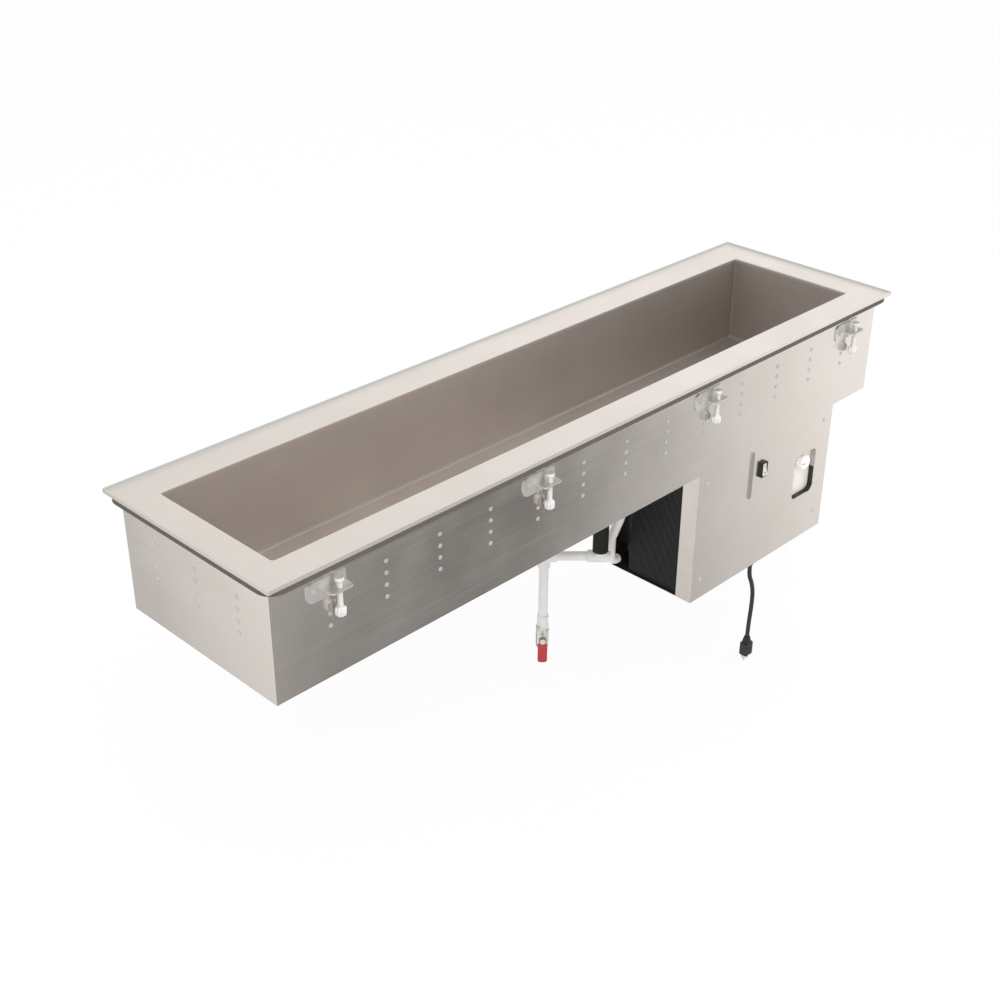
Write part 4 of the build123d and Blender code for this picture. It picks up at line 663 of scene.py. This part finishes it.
# %% Thermostat knob
KNOB_RADIUS = 18.5
KNOB_HEIGHT = 15.1
SKIRT_HEIGHT = 2.4
SKIRT_EDGE = 0.6
SHAFT_RADIUS = 3.0
SHAFT_LENGTH = 26.0
KNOB_OUTLINE = [(0, -SHAFT_LENGTH), (SHAFT_RADIUS, -SHAFT_LENGTH), (SHAFT_RADIUS, 0), (KNOB_RADIUS, 0),
                (KNOB_RADIUS, SKIRT_HEIGHT - SKIRT_EDGE), (KNOB_RADIUS - SKIRT_EDGE, SKIRT_HEIGHT),
                (16.9, 2.6), (16.6, 12.6), (16.0, 14.2), (14.8, KNOB_HEIGHT), (0, KNOB_HEIGHT)]
KNOB_FLUTES = 18
FLUTED_LOW = 2.5
FLUTED_HIGH = 14.5
KNOB_SWELL = 1.02
VALLEY_COLUMNS = (0, 1, 5)
VALLEY_DRAW = 0.94
POINTER_SIZE = (11.0, 2.4, 0.8)
POINTER_START = -14.0
POINTER_EDGE = 0.25

knob_place = middle_of("thermostat_knob")
knob_place.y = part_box("thermostat_knob")[1].y - SHAFT_LENGTH * MM
bm = bmesh.new()
knob = turned(bm, KNOB_OUTLINE, steps=KNOB_FLUTES * COLUMNS_PER_FLUTE)
grip = [v for v in knob if FLUTED_LOW * MM < v.co.z < FLUTED_HIGH * MM]
bmesh.ops.scale(bm, verts=grip, vec=(KNOB_SWELL, KNOB_SWELL, 1))
valleys = [v for v in grip if flute_column(v, KNOB_FLUTES) in VALLEY_COLUMNS]
bmesh.ops.scale(bm, verts=valleys, vec=(VALLEY_DRAW, VALLEY_DRAW, 1))
keep_piece(bm, "fluted_knob", knob_plastic, "knob", "thermostat_knob", knob_place, TO_FRONT)

bm = bmesh.new()
moulded(bm, POINTER_SIZE, (POINTER_START + POINTER_SIZE[0] / 2, 0, KNOB_HEIGHT), POINTER_EDGE)
keep_piece(bm, "knob_pointer", motor_paint, "knob", "thermostat_knob", knob_place, TO_FRONT)
print("knob at", [round(v / MM, 1) for v in knob_place])

# %% [markdown]
# ## Rocker switch
# A snap-in switch has a black bezel and a paddle that rocks on a cross pin. The bezel is a block whose
# front face is inset and pushed back. The paddle's side is drawn first, with its dished face as an arc that
# a spin of one vertex draws, and is then extruded to its width. The line and the ring are the usual marks
# for on and off.

# %% Switch bezel
SWITCH_WIDTH = 20.0
SWITCH_HEIGHT = 36.0
SWITCH_OUT = 8.0
SWITCH_DEPTH = 30.0
SWITCH_WALL = 2.0
SWITCH_FLOOR = -2.0
SWITCH_SHOULDER = 1.2
SWITCH_EDGE = 0.6


def at_front(edge):
    """True for an edge that reaches the bezel's front half."""
    return max(v.co.z for v in edge.verts) > SWITCH_OUT / 2 * MM


switch_place = middle_of("switch_body")
switch_place.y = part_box("switch_body")[0].y + SWITCH_OUT * MM
bm = bmesh.new()
moulded(bm, (SWITCH_WIDTH, SWITCH_HEIGHT, SWITCH_OUT), (0, 0, SWITCH_OUT / 2), SWITCH_SHOULDER,
        which=at_front)
front = max(bm.faces, key=lambda face: face.calc_center_median().z)
bmesh.ops.inset_region(bm, faces=[front], thickness=(SWITCH_WALL - SWITCH_SHOULDER) * MM)
sunk = bmesh.ops.extrude_discrete_faces(bm, faces=[front])["faces"]
bmesh.ops.translate(bm, verts=sunk[0].verts, vec=(0, 0, (SWITCH_FLOOR - SWITCH_OUT) * MM))
body_size = (SWITCH_WIDTH - 2 * SWITCH_SHOULDER, SWITCH_HEIGHT - 2 * SWITCH_SHOULDER,
             SWITCH_DEPTH + SWITCH_FLOOR)
moulded(bm, body_size, (0, 0, (SWITCH_FLOOR - SWITCH_DEPTH) / 2), SWITCH_EDGE)
keep_piece(bm, "switch_bezel", black_plastic, "casing", "switch_body",
           switch_place, TO_FRONT)
print("switch at", [round(v / MM, 1) for v in switch_place])

# %% Rocker paddle
PADDLE_WIDTH = 15.2
PADDLE_HALF = 14.3
PADDLE_HIP = 3.0
PADDLE_KEEL = -1.0
PADDLE_HORN = 8.4
PADDLE_DISH = 1.8
PADDLE_EDGE = 0.7
PADDLE_PIVOT = 2.0
PADDLE_TILT = math.radians(8)
PIN_RADIUS = 1.5
PIN_LENGTH = 18.4
PIN_SIDES = 24
DISH_STEPS = 10

dish_radius = (PADDLE_HALF ** 2 + PADDLE_DISH ** 2) / (2 * PADDLE_DISH)
dish_middle = Vector((0, 0, PADDLE_HORN - PADDLE_DISH + dish_radius)) * MM
dish_angle = 2 * math.asin(PADDLE_HALF / dish_radius)
pivot = Vector((0, 0, PADDLE_PIVOT)) * MM
tilt = Matrix.Rotation(-PADDLE_TILT, 4, "X")
tilted = TO_FRONT @ Matrix.Translation(pivot) @ tilt @ Matrix.Translation(-pivot)

bm = bmesh.new()
horn = bm.verts.new(Vector((-PADDLE_WIDTH / 2, PADDLE_HALF, PADDLE_HORN)) * MM)
bmesh.ops.spin(bm, geom=[horn], cent=dish_middle, axis=(1, 0, 0), angle=-dish_angle, steps=DISH_STEPS)
under = [min(bm.verts, key=lambda v: v.co.y)]
for y, z in ((-PADDLE_HALF, PADDLE_HIP), (0, PADDLE_KEEL), (PADDLE_HALF, PADDLE_HIP)):
    under.append(bm.verts.new(Vector((-PADDLE_WIDTH / 2, y, z)) * MM))
for ends in zip(under, under[1:] + [horn]):
    bm.edges.new(ends)
side = bmesh.ops.contextual_create(bm, geom=bm.edges[:])["faces"]
grown = bmesh.ops.extrude_face_region(bm, geom=side)["geom"]
far_side = [v for v in grown if isinstance(v, bmesh.types.BMVert)]
bmesh.ops.translate(bm, verts=far_side, vec=(PADDLE_WIDTH * MM, 0, 0))
soften(bm, PADDLE_EDGE)
pin = bmesh.ops.create_cone(bm, cap_ends=True, segments=PIN_SIDES, radius1=PIN_RADIUS * MM,
                            radius2=PIN_RADIUS * MM, depth=PIN_LENGTH * MM)["verts"]
bmesh.ops.rotate(bm, verts=pin, matrix=Matrix.Rotation(math.pi / 2, 3, "Y"))
bmesh.ops.translate(bm, verts=pin, vec=pivot)
keep_piece(bm, "rocker_paddle", pale_plastic, "rocker", "switch_rocker",
           switch_place, tilted)
print("paddle's dish has a radius of", round(dish_radius, 1), "mm")

# %% On and off marks
MARK_OUT = 8.2
BAR_SIZE = (1.1, 5.0, 0.5)
BAR_EDGE = 0.15
RING_INSIDE = 1.6
RING_OUTSIDE = 2.5
RING_PROUD = 0.2

dish_floor = PADDLE_HORN - PADDLE_DISH
ring_low = dish_floor - RING_PROUD
ring_high = dish_floor + RING_PROUD
mark_angle = math.asin(MARK_OUT / dish_radius)
bm = bmesh.new()
moulded(bm, BAR_SIZE, (0, 0, dish_floor), BAR_EDGE)
bmesh.ops.rotate(bm, verts=bm.verts, cent=dish_middle, matrix=Matrix.Rotation(mark_angle, 3, "X"))
ring = turned(bm, [(RING_INSIDE, ring_low), (RING_INSIDE, ring_high), (RING_OUTSIDE, ring_high),
                   (RING_OUTSIDE, ring_low), (RING_INSIDE, ring_low)])
bmesh.ops.rotate(bm, verts=ring, cent=dish_middle, matrix=Matrix.Rotation(-mark_angle, 3, "X"))
keep_piece(bm, "rocker_marks", black_plastic, "rocker", "switch_rocker",
           switch_place, tilted)
print("marks", round(math.degrees(mark_angle), 1), "degrees up and down the dish")

# %% [markdown]
# ## Drain valve lever
# The ball valve under the drain is turned by a flat steel lever with a red vinyl grip, which is dipped on
# and so has a soft, full edge. Strap and grip are two moulded blocks, with their ends rounded across the
# width. They lie along the lever's own direction, 45 degrees from the well's length.

# %% Lever strap and grip
LEVER_TURN = Matrix.Rotation(math.radians(135), 4, "Z")
STRAP_SIZE = (17.0, 3.0, 40.0)
STRAP_END = 7.5
STRAP_EDGE = 0.5
VINYL_SIZE = (22.0, 5.0, 53.0)
VINYL_END = 6.5
VINYL_EDGE = 1.8
END_SEGMENTS = 6

low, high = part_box("valve_lever")
lever_half = (high.z - low.z) / MM / 2
lever_place = middle_of("valve_lever")
bm = bmesh.new()
moulded(bm, STRAP_SIZE, (0, 0, lever_half - STRAP_SIZE[2] / 2), STRAP_END, END_SEGMENTS, across)
soften(bm, STRAP_EDGE)
keep_piece(bm, "lever_strap", strap_steel, "valve_turner", "valve_lever", lever_place, LEVER_TURN)
bm = bmesh.new()
moulded(bm, VINYL_SIZE, (0, 0, VINYL_SIZE[2] / 2 - lever_half), VINYL_END, END_SEGMENTS, across)
soften(bm, VINYL_EDGE)
keep_piece(bm, "lever_grip", red_vinyl, "valve_turner", "valve_lever", lever_place, LEVER_TURN)
print("lever of", round(2 * lever_half, 1), "mm")

# %% [markdown]
# ## Strain relief and plug
# The lead leaves the box through a tapered rubber strain relief with ring grooves, which let it bend. Its
# plug is moulded on: a rounded body with finger ridges, a grooved tail, two flat prongs and a round earth
# pin. Grooved tapers are turned, and the rest is moulded.

# %% Grooved strain relief
RELIEF_NECK = 6.9
RELIEF_EDGE = 0.8
RELIEF_FLANGE = 8.3
RELIEF_MOUTH = 6.1
RELIEF_OUTSIDE = 7.5
RELIEF_RINGS = 3
RELIEF_GROOVE = 0.8
FLANGE_HEIGHT = 3.0
GROOVE_TOP = 0.6
GROOVE_START = 0.7
GROOVE_END = 0.9


def grooved_taper(start_radius, end_radius, start, end, rings, groove):
    """Outline of a taper between two heights with ring grooves cut into it."""
    outline = []
    for ring in range(rings):
        for share, cut in ((0.0, 0), (GROOVE_TOP, 0), (GROOVE_START, groove), (GROOVE_END, groove)):
            along = (ring + share) / rings
            radius = start_radius + (end_radius - start_radius) * along - cut
            outline.append((radius, start + (end - start) * along))
    return outline + [(end_radius, end)]


low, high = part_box("cord_gland")
relief_place = middle_of("cord_gland")
relief_place.z = low.z + RELIEF_OUTSIDE * MM
relief_top = (high.z - low.z) / MM - RELIEF_OUTSIDE
tray_top = (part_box("base_tray")[1].z - relief_place.z) / MM
flange_top = tray_top + FLANGE_HEIGHT
bm = bmesh.new()
turned(bm, [(0, relief_top), (RELIEF_NECK - RELIEF_EDGE, relief_top),
            (RELIEF_NECK, relief_top - RELIEF_EDGE), (RELIEF_NECK, flange_top), (RELIEF_FLANGE, flange_top),
            (RELIEF_FLANGE, tray_top), (RELIEF_NECK, tray_top), (RELIEF_NECK, 0)]
       + grooved_taper(RELIEF_FLANGE, RELIEF_MOUTH, 0, -RELIEF_OUTSIDE, RELIEF_RINGS, RELIEF_GROOVE)
       + [(0, -RELIEF_OUTSIDE)])
keep_piece(bm, "grooved_strain_relief", black_rubber, "casing", "cord_gland", relief_place)
print("strain relief", round(relief_top + RELIEF_OUTSIDE, 1), "mm long")

# %% Moulded plug
PLUG_WIDTH = 28.0
PLUG_DEPTH = 24.0
PLUG_HEIGHT = 33.0
PLUG_CORNER = 6.0
CORNER_SEGMENTS = 5
PLUG_EDGE = 2.4
TAIL_LENGTH = 16.0
TAIL_RADIUS = 7.0
TAIL_FOOT = 11.0
TAIL_LAP = 1.0
TAIL_RINGS = 4
TAIL_GROOVE = 1.0
RIDGES = 4
RIDGE_PITCH = 4.2
RIDGE_START = 9.0
RIDGE_LENGTH = 15.0
RIDGE_WIDTH = 1.8
RIDGE_PROUD = 0.6
RIDGE_EDGE = 0.5
PRONG_LENGTH = 16.0

plug_place = middle_of("power_plug")
plug_place.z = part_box("power_plug")[0].z + PRONG_LENGTH * MM
bm = bmesh.new()
moulded(bm, (PLUG_WIDTH, PLUG_DEPTH - 2 * RIDGE_PROUD, PLUG_HEIGHT), (0, 0, PLUG_HEIGHT / 2), PLUG_CORNER,
        CORNER_SEGMENTS, upright)
soften(bm, PLUG_EDGE)
ridge_out = PLUG_DEPTH / 2 - 2 * RIDGE_PROUD
for side in (-1, 1):
    for ridge in range(RIDGES):
        moulded(bm, (RIDGE_LENGTH, 4 * RIDGE_PROUD, RIDGE_WIDTH),
                (0, side * ridge_out, RIDGE_START + ridge * RIDGE_PITCH), RIDGE_EDGE)
tail_end = PLUG_HEIGHT + TAIL_LENGTH
turned(bm, [(0, PLUG_HEIGHT - TAIL_LAP), (TAIL_FOOT, PLUG_HEIGHT - TAIL_LAP)]
       + grooved_taper(TAIL_FOOT, TAIL_RADIUS, PLUG_HEIGHT, tail_end, TAIL_RINGS, TAIL_GROOVE)
       + [(0, tail_end)])
plug = keep_piece(bm, "moulded_plug", black_rubber, "casing", "power_plug", plug_place)
print("plug at", [round(v / MM, 1) for v in plug_place])

# %% Plug prongs
PRONG_WIDTH = 6.3
PRONG_THICK = 1.5
PRONG_SPACING = 12.7
PRONG_ROOT = 2.0
PRONG_EDGE = 0.5
EARTH_RADIUS = 2.4
EARTH_SETBACK = 8.0
EARTH_TIP_RADIUS = 1.0
EARTH_TIP_LENGTH = 2.5

bm = bmesh.new()
for side in (-1, 1):
    moulded(bm, (PRONG_THICK, PRONG_WIDTH, PRONG_LENGTH + PRONG_ROOT),
            (side * PRONG_SPACING / 2, 0, (PRONG_ROOT - PRONG_LENGTH) / 2), PRONG_EDGE)
earth_pin = turned(bm, [(0, PRONG_ROOT), (EARTH_RADIUS, PRONG_ROOT),
                        (EARTH_RADIUS, EARTH_TIP_LENGTH - PRONG_LENGTH),
                        (EARTH_TIP_RADIUS, -PRONG_LENGTH), (0, -PRONG_LENGTH)])
bmesh.ops.translate(bm, verts=earth_pin, vec=(0, EARTH_SETBACK * MM, 0))
prongs = keep_piece(bm, "plug_prongs", nickel, "casing", "power_plug", plug_place)
print("prongs", PRONG_LENGTH, "mm long")

# %% [markdown]
# ## Power cord
# A rubber mains lead leaves the box through its strain relief and hangs to its plug. A chain of straight
# tubes would look like bent wire, so it is one NURBS curve with a round bevel, with the points of the CAD
# model's route as its control points. The order and the end points are set after the points, or Blender
# drops them.

# %% Power cord
CORD_RADIUS = 5.0 * MM
CORD_POINTS = [(0.0, 0.0), (0.0, -28.0), (14.0, -54.0), (22.5, -82.0),
               (23.5, -112.0), (21.8, -143.0), (18.8, -176.0), (18.8, -207.0)]

gland_mouth = middle_of("cord_gland")
gland_mouth.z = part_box("cord_gland")[0].z
line = bpy.data.curves.new("power_lead", "CURVE")
line.dimensions = "3D"
line.bevel_depth = CORD_RADIUS
line.bevel_resolution = 6
line.resolution_u = 12
line.use_fill_caps = True
spline = line.splines.new("NURBS")
spline.points.add(len(CORD_POINTS) - 1)
for point, (x, z) in zip(spline.points, CORD_POINTS):
    point.co = (*(gland_mouth + Vector((x, 0, z)) * MM), 1)
spline.order_u = 3
spline.use_endpoint_u = True
cord = bpy.data.objects.new("power_lead", line)
scene.collection.objects.link(cord)
dress(cord, black_rubber)
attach(cord, "casing")
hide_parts("power_cord")
print("cord of", len(CORD_POINTS), "points, length by the spline", round(spline.calc_length() / MM, 1), "mm")

# %% [markdown]
# ## Floor and light
# The photograph is a studio shot on white. A pale floor catches a soft shadow, and is lifted to white for
# the camera by a little light of its own. Steel shows what it reflects, so the world is a soft white tent
# whose lower part changes shade round the object, as a room behind the photographer does. The front mirrors
# what stands to the front right: a dark gap with a bright patch beside it. The left end mirrors what stands
# behind it to the left, again a dark and a bright patch. At its foot the tent is dimmer all round. Mirror
# rays see it through the floor, and two large lamps shape the plastics and the paint.

# %% Floor
FLOOR_SIZE = 30.0
FLOOR_GLOW = 0.9
FLOOR_TONE = "#F4F4F4"
WHITE = (1, 1, 1, 1)

floor_material, tree, _ = new_finish("pale_studio_floor")
rays = add(tree, "LightPath")
geometry = add(tree, "NewGeometry")
matt = add(tree, "BsdfDiffuse", inputs={"Color": linear(FLOOR_TONE)})
glow = add(tree, "Emission", inputs={"Color": WHITE, "Strength": 1.0})
clear = add(tree, "BsdfTransparent")
lifted = add(tree, "Math", {"operation": "MULTIPLY"}, {0: rays.outputs["Is Camera Ray"], 1: FLOOR_GLOW})
shown = add(tree, "MixShader", inputs={0: lifted.outputs[0], 1: matt.outputs[0], 2: glow.outputs[0]})
unseen = add(tree, "Math", {"operation": "MAXIMUM"},
             {0: rays.outputs["Is Glossy Ray"], 1: geometry.outputs["Backfacing"]})
close_finish(tree, add(tree, "MixShader", inputs={
    0: unseen.outputs[0], 1: shown.outputs[0], 2: clear.outputs[0]}))

bm = bmesh.new()
bmesh.ops.create_grid(bm, x_segments=1, y_segments=1, size=FLOOR_SIZE / 2)
bmesh.ops.translate(bm, verts=bm.verts, vec=(0, 0, cad_box[0].z))
floor_mesh = bpy.data.meshes.new("studio_floor")
bm.to_mesh(floor_mesh)
bm.free()
floor = bpy.data.objects.new("studio_floor", floor_mesh)
scene.collection.objects.link(floor)
dress(floor, floor_material)
print("floor at", round(cad_box[0].z, 4))

# %% World: shades round the tent
# Degrees round the object from its right end, and the tent's brightness there.
TENT_SHADES = [(-95, 1.0), (-70, 0.95), (-57, 0.68), (-48, 0.10), (-42, 0.12), (-36, 0.85), (-29, 1.4),
               (0, 1.0), (96, 0.45), (111, 0.0), (131, 1.82), (142, 0.76), (154, 1.0)]

world = bpy.data.worlds.new("studio_tent")
scene.world = world
world.use_nodes = True
tree = world.node_tree
tree.nodes.clear()
towards = add(tree, "SeparateXYZ", inputs={0: add(tree, "TexCoord").outputs["Generated"]})
azimuth = add(tree, "Math", {"operation": "ARCTAN2"}, {0: towards.outputs["Y"], 1: towards.outputs["X"]})
first, last = TENT_SHADES[0][0], TENT_SHADES[-1][0]
turn = add(tree, "MapRange", inputs={"Value": azimuth.outputs[0], "From Min": math.radians(first),
                                     "From Max": math.radians(last)})
shades = add(tree, "ValToRGB", inputs={"Fac": turn.outputs[0]})
ramp = shades.color_ramp
ramp.interpolation = "EASE"
while len(ramp.elements) < len(TENT_SHADES):
    ramp.elements.new(0.5)
for stop, (degrees, level) in zip(ramp.elements, TENT_SHADES):
    stop.position = (degrees - first) / (last - first)
    stop.color = (level, level, level, 1)
print("the tent's shades run from", first, "to", last, "degrees")

# %% World: light
# Heights in the tent are the upward part of a direction of length 1.
SHADE_TOP = -0.05
SHADE_FULL = -0.25
TENT_WAIST = -0.42
TENT_FOOT = -0.62
FOOT_SHADE = 0.67
AMBIENT = 1.0

rays = add(tree, "LightPath")
low_down = add(tree, "MapRange", {"interpolation_type": "SMOOTHSTEP"},
               {"Value": towards.outputs["Z"], "From Min": SHADE_TOP, "From Max": SHADE_FULL})
at_foot = add(tree, "MapRange", inputs={"Value": towards.outputs["Z"], "From Min": TENT_WAIST,
                                        "From Max": TENT_FOOT, "To Min": 1.0, "To Max": FOOT_SHADE})
dimmed = add(tree, "VectorMath", {"operation": "SCALE"},
             {0: shades.outputs["Color"], "Scale": at_foot.outputs[0]})
tent_colour = add(tree, "Mix", {"data_type": "RGBA"},
                  {0: low_down.outputs[0], 6: WHITE, 7: dimmed.outputs[0]})
tent = add(tree, "Background", inputs={"Color": tent_colour.outputs[2], "Strength": 1.0})
sky = add(tree, "Background", inputs={"Color": WHITE, "Strength": AMBIENT})
backdrop = add(tree, "Background", inputs={"Color": WHITE, "Strength": 1.0})
lit = add(tree, "MixShader", inputs={
    0: rays.outputs["Is Glossy Ray"], 1: sky.outputs[0], 2: tent.outputs[0]})
seen = add(tree, "MixShader", inputs={
    0: rays.outputs["Is Camera Ray"], 1: lit.outputs[0], 2: backdrop.outputs[0]})
add(tree, "OutputWorld", inputs={"Surface": seen.outputs[0]})
print("the world has", len(tree.nodes), "nodes")

# %% Lamps
LAMP_SIZE = 2.4
KEY_PLACE = (-2.0, -2.4, 3.2)
KEY_TARGET = (0, 0, -0.2)
KEY_POWER = 60
FILL_PLACE = (3.0, -1.6, 2.0)
FILL_TARGET = (0.3, 0, -0.3)
FILL_POWER = 25


def soft_lamp(name, place, target, power):
    """A square area lamp that faces a target."""
    lamp = bpy.data.lights.new(name, "AREA")
    lamp.size = LAMP_SIZE
    lamp.energy = power
    holder = bpy.data.objects.new(name, lamp)
    holder.location = place
    holder.rotation_euler = (Vector(target) - Vector(place)).to_track_quat("-Z", "Y").to_euler()
    holder.visible_glossy = False
    scene.collection.objects.link(holder)


soft_lamp("key_lamp", KEY_PLACE, KEY_TARGET, KEY_POWER)
soft_lamp("fill_lamp", FILL_PLACE, FILL_TARGET, FILL_POWER)
print(len(bpy.data.lights), "lamps")
